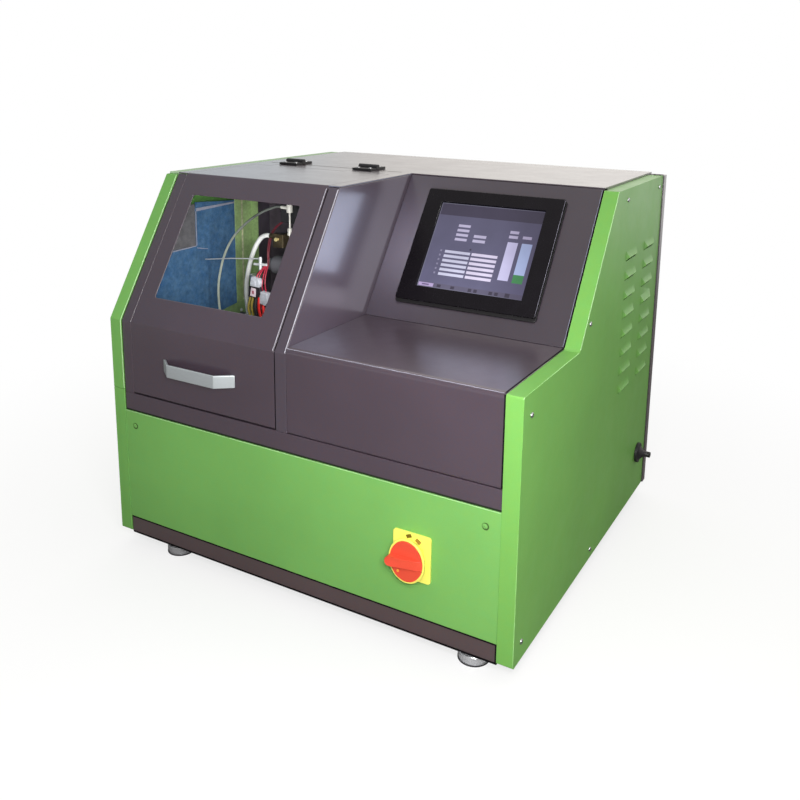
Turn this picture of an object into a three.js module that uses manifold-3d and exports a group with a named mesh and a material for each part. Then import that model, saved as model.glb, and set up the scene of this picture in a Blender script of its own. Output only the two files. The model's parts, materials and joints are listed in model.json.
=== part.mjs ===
// Common rail injector test bench: a bench-top cabinet of folded sheet steel with a hinged lid
// and window over the test chamber, a sloping console with a display, a rotary main switch,
// levelling feet, and the drive, pump, tank and rail that it holds inside.
// Millimetres, +X to the right, +Y to the back, +Z up. While it is modelled the cabinet's front
// is y = 0, its middle is x = 0 and the side panels' lower edge is z = 0.
import * as THREE from "three";
import { mergeVertices } from "three/addons/utils/BufferGeometryUtils.js";
import Module from "manifold-3d";

const wasm = await Module();
wasm.setup();

// Driving dimensions of the cabinet
const cabinetWidth = 750;
const cabinetDepth = 656;
const cabinetHeight = 616;
const roofRise = 4;
const sheet = 2;
const flangeWidth = 25.3;
const faceRecess = 2;
const ledgeRise = 1;
const ledgeBend = 9;
const foldRadius = 3;
const elbowRadius = 12;
const rearPanelDepth = 17.5;
const plinthHeight = 29.4;
const barBottom = 226;
const barTop = 258;
const leftSeamHeight = 263;

// The two front profiles: the lid's on the left and the console's on the right
const lidFoldHeight = 385;
const lidSlopeDepth = 144.2;
const lidRearDepth = 335;
const ledgeHeight = 392.7;
const ledgeDepth = 219.4;
const displaySlopeDepth = 155.6;
const leftStripWidth = 20.7;
const lidWidth = 300;
const centreStripWidth = 22.5;

// Clearances
const seat = 0.3;
const lidSideGap = 0.4;
const lidBottomGap = 3;
const coverGap = 0.6;
const pocket = 1;
const overrun = 5;

// Outline steps
const roundSides = 32;
const smallSides = 16;
const hoseSides = 8;
const cornerSteps = 3;
const mergeTolerance = 0.001;

// Finishes
const finish = (color, roughness, metalness) =>
  new THREE.MeshStandardMaterial({ color, roughness, metalness, flatShading: true });
const greenPaint = finish(0x74bf5c, 0.5, 0.1);
const darkPaint = finish(0x5a5056, 0.5, 0.1);
const steelFinish = finish(0xb9bcc0, 0.35, 0.9);
const chromeFinish = finish(0xd9dadc, 0.15, 1);
const aluminiumFinish = finish(0xc9cccd, 0.4, 0.9);
const brassFinish = finish(0xc9a45a, 0.35, 0.9);
const ironFinish = finish(0x565a5e, 0.6, 0.6);
const blackPlastic = finish(0x17171a, 0.35, 0);
const matteBlack = finish(0x202124, 0.7, 0);
const yellowPlastic = finish(0xf5e34a, 0.4, 0);
const redPlastic = finish(0xe8402a, 0.4, 0);
const blueFilm = finish(0x3a6391, 0.45, 0.2);
const screenGlass = finish(0x62667c, 0.2, 0);
const clearPane = finish(0xcfd6d8, 0.05, 0);
const clearHose = finish(0xcfd3cf, 0.2, 0);
const whiteHose = finish(0xdcdedb, 0.45, 0);

// Planes that an outline is drawn in, named by the axis that it is extruded along
const outlinePlanes = {
  x: new THREE.Matrix4().set(0, 0, 1, 0, 1, 0, 0, 0, 0, 1, 0, 0, 0, 0, 0, 1),
  y: new THREE.Matrix4().set(1, 0, 0, 0, 0, 0, -1, 0, 0, 1, 0, 0, 0, 0, 0, 1),
  z: new THREE.Matrix4(),
};

// A closed geometry becomes a solid once the vertices that its faces share are merged.
function solidOf(geometry, frame) {
  const bare = geometry.clone();
  bare.deleteAttribute("normal");
  bare.deleteAttribute("uv");
  if (frame) bare.applyMatrix4(frame);
  const merged = mergeVertices(bare, mergeTolerance);
  const corners = [];
  for (let start = 0; start < merged.index.count; start += 3) {
    const face = [0, 1, 2].map((step) => merged.index.getX(start + step));
    if (new Set(face).size === face.length) corners.push(...face);
  }
  return new wasm.Manifold(
    new wasm.Mesh({
      numProp: 3,
      vertProperties: Float32Array.from(merged.attributes.position.array),
      triVerts: Uint32Array.from(corners),
    }),
  );
}

const join = (...solids) => solids.reduce((whole, next) => whole.add(next));
const cut = (body, ...tools) => tools.reduce((rest, tool) => rest.subtract(tool), body);

function block([x0, x1], [y0, y1], [z0, z1], frame) {
  const geometry = new THREE.BoxGeometry(x1 - x0, y1 - y0, z1 - z0);
  geometry.translate((x0 + x1) / 2, (y0 + y1) / 2, (z0 + z1) / 2);
  return solidOf(geometry, frame);
}

// An outline of [first, second] coordinates, extruded along the named axis
function prism(axis, outline, [from, to], frame) {
  const shape = new THREE.Shape(outline.map(([first, second]) => new THREE.Vector2(first, second)));
  const geometry = new THREE.ExtrudeGeometry(shape, { depth: to - from, bevelEnabled: false, steps: 1 });
  geometry.translate(0, 0, axis === "y" ? -to : from);
  geometry.applyMatrix4(outlinePlanes[axis]);
  return solidOf(geometry, frame);
}

function oval([first, second], [across, up], sides = roundSides) {
  return Array.from({ length: sides }, (_, index) => {
    const angle = (2 * Math.PI * (index + 0.5)) / sides;
    return [first + across * Math.cos(angle), second + up * Math.sin(angle)];
  });
}

const circle = (centre, radius, sides = roundSides) => oval(centre, [radius, radius], sides);

const rod = (axis, centre, radius, span, sides = roundSides) =>
  prism(axis, circle(centre, radius, sides), span);

// A profile of [radius, height] turned about the line through the place, along the named axis
function turned(axis, profile, [x, y, z], sides = roundSides) {
  const geometry = new THREE.LatheGeometry(
    profile.map(([radius, height]) => new THREE.Vector2(radius, height)),
    sides,
  );
  const turn = new THREE.Matrix4();
  if (axis === "z") turn.makeRotationX(Math.PI / 2);
  if (axis === "x") turn.makeRotationZ(-Math.PI / 2);
  const place = new THREE.Matrix4().makeTranslation(x, y, z).multiply(turn);
  const solid = solidOf(geometry, place);
  return solid.volume() < 0 ? solidOf(flipped(geometry), place) : solid;
}

function flipped(geometry) {
  const turnedOver = geometry.clone();
  const order = turnedOver.index.array;
  for (let start = 0; start < order.length; start += 3) {
    [order[start], order[start + 1]] = [order[start + 1], order[start]];
  }
  return turnedOver;
}

// A round hose or pipe whose middle line runs smoothly through the route's points
function hose(route, radius, steps, sides = hoseSides) {
  const path = new THREE.CatmullRomCurve3(route.map((point) => new THREE.Vector3(...point)));
  const section = new THREE.Shape(circle([0, 0], radius, sides).map(([a, b]) => new THREE.Vector2(a, b)));
  return solidOf(new THREE.ExtrudeGeometry(section, { steps, extrudePath: path, bevelEnabled: false }));
}

const unit = ([a, b]) => [a / Math.hypot(a, b), b / Math.hypot(a, b)];
const between = ([a, b], [c, d]) => [c - a, d - b];

// Where two lines meet, each given by a point and a direction
function crossing([a, b], [da, db], [c, d], [dc, dd]) {
  const reach = ((c - a) * dd - (d - b) * dc) / (da * dd - db * dc);
  return [a + da * reach, b + db * reach];
}

// The path moved to its right-hand side, with mitred corners
function offsetPath(points, distance, closed = false) {
  const count = points.length;
  const edges = points.map((point, index) => {
    const next = points[(index + 1) % count];
    const way = unit(between(point, next));
    return { start: [point[0] + way[1] * distance, point[1] - way[0] * distance], way };
  });
  return points.map((point, index) => {
    const before = edges[(index + count - 1) % count];
    const after = edges[index];
    if (!closed && index === 0) return after.start;
    if (!closed && index === count - 1) {
      return [point[0] + before.way[1] * distance, point[1] - before.way[0] * distance];
    }
    return crossing(before.start, before.way, after.start, after.way);
  });
}

// The outline of a strip of the given depth, folded along the path
const folded = (path, depth) => [...path, ...offsetPath(path, depth).reverse()];

// A closed outline with each corner rounded by its own radius
function roundCorners(points, radii) {
  return points.flatMap((corner, index) => {
    const radius = Array.isArray(radii) ? radii[index] : radii;
    const before = unit(between(corner, points[(index + points.length - 1) % points.length]));
    const after = unit(between(corner, points[(index + 1) % points.length]));
    const halfAngle = Math.acos(before[0] * after[0] + before[1] * after[1]) / 2;
    const reach = radius / Math.tan(halfAngle);
    const start = [corner[0] + before[0] * reach, corner[1] + before[1] * reach];
    const end = [corner[0] + after[0] * reach, corner[1] + after[1] * reach];
    const toCentre = unit([before[0] + after[0], before[1] + after[1]]);
    const centre = [
      corner[0] + (toCentre[0] * radius) / Math.sin(halfAngle),
      corner[1] + (toCentre[1] * radius) / Math.sin(halfAngle),
    ];
    return Array.from({ length: cornerSteps + 1 }, (_, step) => {
      const share = step / cornerSteps;
      const chord = [start[0] + (end[0] - start[0]) * share, start[1] + (end[1] - start[1]) * share];
      const way = unit(between(centre, chord));
      return [centre[0] + way[0] * radius, centre[1] + way[1] * radius];
    });
  });
}

const rectangle = ([a0, a1], [b0, b1]) => [
  [a0, b0],
  [a1, b0],
  [a1, b1],
  [a0, b1],
];

const roundedRectangle = (spanA, spanB, radius) => roundCorners(rectangle(spanA, spanB), radius);

// The frame of a sloping face: its first axis is X, its second runs up the slope, its third out
function slopeFrame([y, z], [wayY, wayZ]) {
  const frame = new THREE.Matrix4().makeBasis(
    new THREE.Vector3(1, 0, 0),
    new THREE.Vector3(0, wayY, wayZ),
    new THREE.Vector3(0, -wayZ, wayY),
  );
  return frame.setPosition(0, y, z);
}

// Places that follow from the driving dimensions
const half = cabinetWidth / 2;
const inner = half - flangeWidth;
const roofTop = cabinetHeight + roofRise;
const underRoof = roofTop - sheet - seat;
const consoleTopDepth = ledgeDepth + displaySlopeDepth;
const lidLeft = leftStripWidth - inner;
const lidRight = lidLeft + lidWidth;
const stepFace = lidRight + centreStripWidth;
const faceY = faceRecess;
const faceBack = faceRecess + sheet;

// An open path whose inner corners are rounded by their own radii
const bentPath = (points, radii) => [
  points[0],
  ...roundCorners(points, radii).slice(cornerSteps + 1, -(cornerSteps + 1)),
  points[points.length - 1],
];

// A face that lies the recess behind the flange's slope, from the foot to the head
function recessedSlope(foot, head) {
  const way = unit(between(foot, head));
  const start = [foot[0] + way[1] * faceRecess, foot[1] - way[0] * faceRecess];
  return {
    way,
    atDepth: (y) => crossing(start, way, [y, 0], [0, 1]),
    atHeight: (z) => crossing(start, way, [0, z], [1, 0]),
  };
}

const lidSlope = recessedSlope([0, lidFoldHeight], [lidSlopeDepth, cabinetHeight]);
const displaySlope = recessedSlope([ledgeDepth, ledgeHeight], [consoleTopDepth, cabinetHeight]);
const lidFold = lidSlope.atDepth(faceY);
const ledgeFace = ledgeHeight + ledgeRise;
const displayFoot = displaySlope.atHeight(ledgeFace);
const lidFrame = slopeFrame(lidFold, lidSlope.way);
const displayFrame = slopeFrame(displayFoot, displaySlope.way);

const group = new THREE.Group();

function piece(name, solid, material) {
  const mesh = solid.getMesh();
  const geometry = new THREE.BufferGeometry();
  geometry.setAttribute("position", new THREE.BufferAttribute(mesh.vertProperties, mesh.numProp));
  geometry.setIndex(new THREE.BufferAttribute(mesh.triVerts, 1));
  const part = new THREE.Mesh(geometry, material.clone());
  part.name = name;
  group.add(part);
}

// Side panels: folded trays whose edges turn inwards by the flange width
const leftProfile = [
  [0, 0],
  [0, lidFoldHeight],
  [lidSlopeDepth, cabinetHeight],
  [cabinetDepth, cabinetHeight],
  [cabinetDepth, 0],
];
const rightProfile = [
  [0, 0],
  [0, ledgeHeight],
  [ledgeDepth, ledgeHeight],
  [consoleTopDepth, cabinetHeight],
  [cabinetDepth, cabinetHeight],
  [cabinetDepth, 0],
];

function tray(profile, outerRadii, hollowRadii, [wallFrom, wallTo], hollowSpan) {
  const outer = prism("x", roundCorners(profile, outerRadii), [wallFrom, wallTo]);
  const hollow = prism("x", roundCorners(offsetPath(profile, sheet, true), hollowRadii), hollowSpan);
  return cut(outer, hollow);
}

const leftPanel = tray(
  leftProfile,
  foldRadius,
  foldRadius - sheet,
  [-half, -inner],
  [sheet - half, overrun - inner],
);

const beyond = cabinetWidth + cabinetDepth + cabinetHeight;
const leftUpperSpace = block([-beyond, 0], [-beyond, beyond], [leftSeamHeight + seat, beyond]);
const leftLowerSpace = block([-beyond, 0], [-beyond, beyond], [-beyond, leftSeamHeight - seat]);
piece("left_side_panel_upper", leftPanel.intersect(leftUpperSpace), greenPaint);
piece("left_side_panel_lower", leftPanel.intersect(leftLowerSpace), greenPaint);

// Louvres: two columns of pressed hoods on the right side, each open along its lower edge
const louvre = {
  length: 64,
  height: 17,
  bulge: 5,
  skin: 1.2,
  rearInset: 190,
  columnPitch: 114,
  columns: 2,
  reachDown: 359,
  pitch: 33.7,
  rows: 8,
};

function louvreHood(y, z, grow, reachIn) {
  const span = [y - louvre.length / 2 + grow, y + louvre.length / 2 - grow];
  const outline = [
    [half - reachIn, z - grow],
    [half + louvre.bulge - grow, z - grow],
    [half + louvre.bulge - grow, z + grow],
    [half - grow, z + louvre.height - grow],
    [half - reachIn, z + louvre.height - grow],
  ];
  return prism("y", outline, span);
}

// Cable gland on the right side
const gland = {
  rearInset: 54.5,
  rise: 85,
  flange: 19,
  flangeDepth: 5,
  dome: 15,
  domeDepth: 9,
  thread: 10,
  bore: 3.5,
  boot: 5.5,
  bootDepth: 26,
  nut: 14,
  nutDepth: 6,
  tail: 12,
};
const glandPlace = [cabinetDepth - gland.rearInset, gland.rise];

function rightPanel() {
  const outerRadii = [foldRadius, foldRadius, elbowRadius, foldRadius, foldRadius, foldRadius];
  const hollowRadii = outerRadii.map((radius) => (radius === elbowRadius ? radius + sheet : radius - sheet));
  let panel = tray(rightProfile, outerRadii, hollowRadii, [inner, half], [inner - overrun, half - sheet]);
  for (let column = 0; column < louvre.columns; column += 1) {
    const y = cabinetDepth - louvre.rearInset + column * louvre.columnPitch;
    for (let row = 0; row < louvre.rows; row += 1) {
      const z = cabinetHeight - louvre.reachDown + row * louvre.pitch;
      panel = cut(panel.add(louvreHood(y, z, 0, sheet)), louvreHood(y, z, louvre.skin, sheet + pocket));
    }
  }
  return cut(panel, rod("x", glandPlace, gland.thread + seat, [half - overrun, half + overrun]));
}

piece("right_side_panel", rightPanel(), greenPaint);

// Rear panel: a tray that stands out behind the cabinet, with rows of air slots
const slot = {
  length: 150,
  height: 6,
  pitch: 14,
  rows: 8,
  reachDown: 320,
  sideInset: 159.7,
  endShare: 0.375,
};
const slotMiddle = inner - slot.sideInset;
const slotLow = roofTop - slot.reachDown;

function rearPanel() {
  const front = cabinetDepth + seat;
  const back = cabinetDepth + rearPanelDepth;
  let panel = cut(
    block([-half, half], [front, back], [0, roofTop]),
    block([sheet - half, half - sheet], [front - overrun, back - sheet], [sheet, roofTop - sheet]),
  );
  for (let row = 0; row < slot.rows; row += 1) {
    const z = slotLow + row * slot.pitch;
    const opening = roundedRectangle(
      [slotMiddle - slot.length / 2, slotMiddle + slot.length / 2],
      [z, z + slot.height],
      slot.height * slot.endShare,
    );
    panel = cut(panel, prism("y", opening, [back - overrun, back + overrun]));
  }
  return panel;
}

piece("rear_panel", rearPanel(), darkPaint);

// Hinges stand on the roof behind the lid, one leaf of each on a tongue of the lid
const hinge = {
  width: 40,
  leafDepth: 26,
  leafThickness: 4,
  barrel: 5,
  pin: 2,
  knuckleShare: 0.3,
  setback: 50,
  tongueMargin: 2,
  leftInset: 58.5,
  rightInset: 73,
};
const hingeCentres = { left: lidLeft + hinge.leftInset, right: lidRight - hinge.rightInset };
const hingeAxisDepth = lidRearDepth + hinge.setback;
const hingeAxisHeight = roofTop + hinge.barrel + seat;
const tongueReach = hingeAxisDepth - hinge.barrel;

// Roof: a flat top with turned-down sides, open where the lid and its two tongues lie
const roofSkirt = 14;

function roofPanel() {
  const left = seat - inner;
  const right = inner - seat;
  const front = lidSlope.atHeight(roofTop - sheet / 2)[0];
  const consoleFront = displaySlope.atHeight(roofTop - sheet / 2)[0];
  const rear = cabinetDepth;
  const topSpan = [roofTop - sheet, roofTop];
  const skirtSpan = [cabinetHeight - roofSkirt, roofTop];
  const lidEdges = [lidLeft - lidSideGap / 2, lidRight + lidSideGap / 2];
  let roof = join(
    block([left, lidEdges[0]], [front, rear], topSpan),
    block([lidEdges[1], stepFace], [front, rear], topSpan),
    block([lidEdges[1], right], [consoleFront, rear], topSpan),
    block([left, stepFace], [lidRearDepth + lidSideGap, rear], topSpan),
    block([left, left + sheet], [lidRearDepth, rear], skirtSpan),
    block([right - sheet, right], [consoleFront + roofSkirt, rear], skirtSpan),
    block([left, right], [rear - sheet, rear], skirtSpan),
  );
  for (const x of Object.values(hingeCentres)) {
    const reach = hinge.width / 2 + hinge.tongueMargin + lidSideGap;
    roof = cut(roof, block([x - reach, x + reach], [lidRearDepth, tongueReach + lidSideGap], [0, beyond]));
  }
  return roof;
}

piece("roof_panel", roofPanel(), darkPaint);

// Fixed dark fronts: the cross bar, the strips beside the lid, the console and the display panel
const innerSpan = [seat - inner, inner - seat];
const returnDepth = 15;

function frontCrossbar() {
  const path = [
    [faceBack + returnDepth, barBottom + seat],
    [faceY, barBottom + seat],
    [faceY, barTop],
    [faceBack + returnDepth, barTop],
  ];
  return prism("x", folded(path, sheet), innerSpan);
}

piece("front_crossbar", frontCrossbar(), darkPaint);

const stripPath = [[faceY, barTop + seat], lidFold, lidSlope.atHeight(underRoof)];

function frontLeftStrip() {
  const right = lidLeft - lidSideGap / 2;
  return join(
    prism("x", folded(stripPath, sheet), [seat - inner, right]),
    prism("x", folded(stripPath, returnDepth), [right - sheet, right]),
  );
}

piece("front_left_strip", frontLeftStrip(), darkPaint);

// The step cover is folded from one sheet: the chamber's right wall, the strip beside the lid
// and the wall that faces the console.
const bulkheadSetback = 11;
const chamber = { depth: hingeAxisDepth + bulkheadSetback, floor: barTop + seat, wall: 1.5 };

function stepCover() {
  const left = lidRight + lidSideGap / 2;
  const right = stepFace;
  const wallOutline = [
    ...stripPath,
    [chamber.depth, underRoof],
    [chamber.depth, barTop + seat],
  ];
  return join(
    prism("x", folded(stripPath, sheet), [left, right]),
    prism("x", wallOutline, [left, left + sheet]),
    prism("x", wallOutline, [right - sheet, right]),
  );
}

piece("step_cover", stepCover(), darkPaint);

const consoleSpan = [stepFace + seat, inner - seat];

function consoleCover() {
  const path = [
    [faceBack + returnDepth, barTop + coverGap],
    [faceY, barTop + coverGap],
    [faceY, ledgeFace],
    [displayFoot[0] - seat, ledgeFace],
  ];
  const bends = bentPath(path, [foldRadius, foldRadius, ledgeBend, foldRadius]);
  return prism("x", folded(bends, sheet), consoleSpan);
}

piece("console_cover", consoleCover(), darkPaint);

// Display: a bezel over the panel's opening, a screen in the bezel and a housing behind
const display = {
  left: 49.5,
  right: 56.7,
  foot: 37,
  head: 27.5,
  proud: 7,
  corner: 3,
  screenLeft: 31,
  screenRight: 29,
  screenFoot: 26,
  screenHead: 23,
  screenThickness: 3,
  housingDepth: 42,
  housingMargin: 10,
};
const displayHead = displaySlope.atHeight(underRoof);
const displayUpLength = Math.hypot(...between(displayFoot, displayHead));
const bezelX = [stepFace + display.left, inner - display.right];
const bezelUp = [display.foot, displayUpLength - display.head];
const screenX = [bezelX[0] + display.screenLeft, bezelX[1] - display.screenRight];
const screenUp = [bezelUp[0] + display.screenFoot, bezelUp[1] - display.screenHead];
const inset = ([low, high], by) => [low + by, high - by];

function displayPanel() {
  const path = [displaySlope.atHeight(ledgeFace + seat), displayHead];
  const plate = prism("x", folded(path, sheet), consoleSpan);
  const margin = display.housingMargin;
  const opening = rectangle(inset(bezelX, margin), inset(bezelUp, margin));
  return cut(plate, prism("z", opening, [-overrun, overrun], displayFrame));
}

piece("display_panel", displayPanel(), darkPaint);

function displayBezel() {
  const outline = roundedRectangle(bezelX, bezelUp, display.corner);
  const opening = rectangle(screenX, screenUp);
  return cut(
    prism("z", outline, [seat, display.proud], displayFrame),
    prism("z", opening, [-overrun, display.proud + overrun], displayFrame),
  );
}

function displayScreen() {
  const outline = rectangle(inset(screenX, seat), inset(screenUp, seat));
  return prism("z", outline, [seat, seat + display.screenThickness], displayFrame);
}

function displayHousing() {
  const margin = display.housingMargin + seat;
  const outline = rectangle(inset(bezelX, margin), inset(bezelUp, margin));
  return prism("z", outline, [-display.housingDepth, 0], displayFrame);
}

piece("display_bezel", displayBezel(), blackPlastic);
piece("display_screen", displayScreen(), screenGlass);
piece("display_housing", displayHousing(), matteBlack);

// Lid: one folded sheet with side walls and edges turned in, a window and two hinge tongues
const window = { left: 32, right: 41.5, foot: 48.5, head: 40, corner: 4, paneThickness: 4, paneLap: 12 };
const lidTopFront = lidSlope.atHeight(roofTop);
const lidUpLength = Math.hypot(...between(lidFold, lidTopFront));
const windowX = [lidLeft + window.left, lidRight - window.right];
const windowUp = [window.foot, lidUpLength - window.head];
const lidSpan = [lidLeft + lidSideGap / 2, lidRight - lidSideGap / 2];
const lidBottom = barTop + lidBottomGap;
const lidPath = [[faceY, lidBottom], lidFold, lidTopFront, [lidRearDepth, roofTop]];

function lidShell() {
  const sideOutline = folded(lidPath, returnDepth);
  let shell = join(
    prism("x", folded(lidPath, sheet), lidSpan),
    prism("x", sideOutline, [lidSpan[0], lidSpan[0] + sheet]),
    prism("x", sideOutline, [lidSpan[1] - sheet, lidSpan[1]]),
    block(lidSpan, [faceY, faceY + returnDepth], [lidBottom, lidBottom + sheet]),
    block(lidSpan, [lidRearDepth - sheet, lidRearDepth], [roofTop - returnDepth, roofTop]),
  );
  for (const x of Object.values(hingeCentres)) {
    const reach = hinge.width / 2 + hinge.tongueMargin;
    shell = shell.add(
      block([x - reach, x + reach], [lidRearDepth - sheet, tongueReach], [roofTop - sheet, roofTop]),
    );
  }
  const opening = roundedRectangle(windowX, windowUp, window.corner);
  return cut(shell, prism("z", opening, [-overrun, overrun], lidFrame));
}

piece("lid_shell", lidShell(), darkPaint);

function lidWindow() {
  const outline = rectangle(inset(windowX, -window.paneLap), inset(windowUp, -window.paneLap));
  const front = -sheet - seat;
  return prism("z", outline, [front - window.paneThickness, front], lidFrame);
}

piece("lid_window", lidWindow(), clearPane);

// Handle: a flat bar bent to a bridge on the lid's front
const handle = {
  sideInset: 148,
  barHalf: 49,
  footHalf: 76,
  standOff: 21,
  thickness: 4,
  drop: 73.5,
  height: 21,
};

function lidHandle() {
  const front = faceY - seat;
  const centre = lidLeft + handle.sideInset;
  const low = lidFoldHeight - handle.drop;
  const path = [
    [centre - handle.footHalf, front],
    [centre - handle.barHalf, front - handle.standOff],
    [centre + handle.barHalf, front - handle.standOff],
    [centre + handle.footHalf, front],
  ];
  const back = offsetPath(path, -handle.thickness);
  const inside = offsetPath([path[0], path[3]], 0);
  const legLeft = crossing(back[0], between(back[0], back[1]), inside[0], [1, 0]);
  const legRight = crossing(back[3], between(back[3], back[2]), inside[0], [1, 0]);
  return prism("z", [...path, legRight, back[2], back[1], legLeft], [low, low + handle.height]);
}

piece("lid_handle", lidHandle(), aluminiumFinish);

// Each hinge has a fixed leaf with the pin and the outer knuckles, and a lid leaf with the middle one
function hingeParts(centre) {
  const reach = hinge.width / 2;
  const knuckle = reach * hinge.knuckleShare;
  const base = roofTop + seat;
  const leafTop = base + hinge.leafThickness;
  const away = hinge.barrel + seat;
  const axisPlace = [hingeAxisDepth, hingeAxisHeight];
  const leafSpan = [centre - reach, centre + reach];
  const fixedDepth = [hingeAxisDepth + away, hingeAxisDepth + hinge.leafDepth];
  const lidDepth = [hingeAxisDepth - hinge.leafDepth, tongueReach - seat];
  const middle = [centre - knuckle + seat, centre + knuckle - seat];
  const ends = [
    [centre - reach, centre - knuckle],
    [centre + knuckle, centre + reach],
  ];
  const barrelOn = (span) => rod("x", axisPlace, hinge.barrel, span, smallSides);
  const fixedLeaf = join(
    block(leafSpan, fixedDepth, [base, leafTop]),
    ...ends.map(barrelOn),
    ...ends.map((span) => block(span, [hingeAxisDepth, hingeAxisDepth + away + pocket], [base, leafTop])),
    rod("x", axisPlace, hinge.pin, leafSpan, smallSides),
  );
  const lidLeaf = join(
    block(leafSpan, lidDepth, [base, leafTop]),
    barrelOn(middle),
    block(middle, [tongueReach - pocket, hingeAxisDepth], [base, leafTop]),
  );
  const bore = rod("x", axisPlace, hinge.pin + seat, leafSpan, smallSides);
  return { fixedLeaf, lidLeaf: cut(lidLeaf, bore) };
}

for (const [side, centre] of Object.entries(hingeCentres)) {
  const parts = hingeParts(centre);
  piece(`hinge_${side}_fixed_leaf`, parts.fixedLeaf, matteBlack);
  piece(`hinge_${side}_lid_leaf`, parts.lidLeaf, matteBlack);
}

// Lower front panel, plinth and base
const lowerRecess = 0.5;
const panelReturn = 10;

// Rotary main switch: a plate with a collar, a knob with its grip and spindle, a body behind
const mainSwitch = {
  sideInset: 133.7,
  rise: 94.6,
  plateWidth: 61,
  plateHeight: 72,
  plateThickness: 4,
  plateCorner: 4,
  rim: 2.5,
  collarDepth: 12.4,
  knobWidth: 52,
  knobHeight: 61,
  knobDepth: 3.6,
  gripWidth: 14,
  gripDepth: 13,
  gripReach: 28.5,
  gripEndShare: 0.45,
  spindle: 4,
  neck: 13,
  body: 48,
  bodyDepth: 62,
  bodyBore: 24,
};
const switchPlace = [inner - mainSwitch.sideInset, plinthHeight + mainSwitch.rise];
const around = (middle, reach) => [middle - reach, middle + reach];
const knobHalf = [mainSwitch.knobWidth / 2, mainSwitch.knobHeight / 2];
const collarHalf = knobHalf.map((reach) => reach + mainSwitch.rim);
const plateBack = lowerRecess - seat;
const plateFront = plateBack - mainSwitch.plateThickness;
const collarFront = plateFront - mainSwitch.collarDepth;
const knobBack = collarFront - seat;
const knobFront = knobBack - mainSwitch.knobDepth;

function lowerFrontPanel() {
  const path = [
    [lowerRecess + sheet + panelReturn, plinthHeight + seat],
    [lowerRecess, plinthHeight + seat],
    [lowerRecess, barBottom],
    [lowerRecess + sheet + panelReturn, barBottom],
  ];
  const panel = prism("x", folded(path, sheet), innerSpan);
  return cut(panel, rod("y", switchPlace, mainSwitch.neck + seat, [-overrun, overrun]));
}

piece("lower_front_panel", lowerFrontPanel(), greenPaint);

function plinthCover() {
  const path = [
    [faceY, 0],
    [faceY, plinthHeight],
    [faceBack + returnDepth, plinthHeight],
  ];
  return prism("x", folded(path, sheet), innerSpan);
}

piece("plinth_cover", plinthCover(), darkPaint);

const foot = {
  sides: 24,
  radius: 23.5,
  wall: 10,
  cone: 9,
  neck: 9,
  stud: 5,
  studReach: 22,
  height: 28,
  padHeight: 4,
  padInset: 0.6,
  inset: 34,
  leftInset: 109,
  rightInset: 74,
};
const footLeft = foot.leftInset - half;
const footRight = half - foot.rightInset;
const footPlaces = {
  front_left: [footLeft, foot.inset],
  front_right: [footRight, foot.inset],
  rear_left: [footLeft, cabinetDepth - foot.inset],
  rear_right: [footRight, cabinetDepth - foot.inset],
};
const base = { thickness: 3, rim: 20 };

function basePlate() {
  const outerY = [faceBack + seat, cabinetDepth];
  let plate = cut(
    block(innerSpan, outerY, [0, base.rim]),
    block(inset(innerSpan, sheet), inset(outerY, sheet), [base.thickness, beyond]),
  );
  for (const place of Object.values(footPlaces)) {
    plate = cut(plate, rod("z", place, foot.stud + seat, [-overrun, base.thickness + overrun], smallSides));
  }
  return plate;
}

piece("base_plate", basePlate(), steelFinish);

function levellingFoot([x, y]) {
  const padTop = foot.padHeight - foot.height;
  const coneFoot = padTop + foot.wall;
  const sole = foot.radius - foot.padInset;
  const profile = [
    [0, -foot.height],
    [sole, -foot.height],
    [sole, padTop],
    [foot.radius, padTop],
    [foot.radius, coneFoot],
    [foot.neck, coneFoot + foot.cone],
    [foot.neck, -seat],
    [foot.stud, -seat],
    [foot.stud, foot.studReach],
    [0, foot.studReach],
  ];
  return turned("z", profile, [x, y, 0], foot.sides);
}

for (const [name, place] of Object.entries(footPlaces)) {
  piece(`foot_${name}`, levellingFoot(place), chromeFinish);
}

function switchPlate() {
  const [x, z] = switchPlace;
  const outline = roundedRectangle(
    around(x, mainSwitch.plateWidth / 2),
    around(z, mainSwitch.plateHeight / 2),
    mainSwitch.plateCorner,
  );
  return cut(
    join(
      prism("y", outline, [plateFront, plateBack]),
      prism("y", oval(switchPlace, collarHalf), [collarFront, plateBack]),
    ),
    rod("y", switchPlace, mainSwitch.spindle + seat, [-beyond, beyond], smallSides),
  );
}

function switchKnob() {
  const [x, z] = switchPlace;
  const grip = roundedRectangle(
    around(x, mainSwitch.gripReach),
    around(z, mainSwitch.gripWidth / 2),
    mainSwitch.gripWidth * mainSwitch.gripEndShare,
  );
  return join(
    prism("y", oval(switchPlace, knobHalf), [knobFront, knobBack]),
    prism("y", grip, [knobFront - mainSwitch.gripDepth, knobBack]),
    rod("y", switchPlace, mainSwitch.spindle, [knobFront, lowerRecess + mainSwitch.bodyBore / 2], smallSides),
  );
}

function switchBody() {
  const halfBody = mainSwitch.body / 2;
  const back = lowerRecess + sheet + seat;
  const [x, z] = switchPlace;
  return cut(
    join(
      rod("y", switchPlace, mainSwitch.neck, [lowerRecess, back + pocket]),
      block(around(x, halfBody), [back, back + mainSwitch.bodyDepth], around(z, halfBody)),
    ),
    rod("y", switchPlace, mainSwitch.spindle + seat, [-overrun, mainSwitch.bodyBore], smallSides),
  );
}

piece("switch_plate", switchPlate(), yellowPlastic);
piece("switch_knob", switchKnob(), redPlastic);
piece("switch_body", switchBody(), matteBlack);

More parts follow.
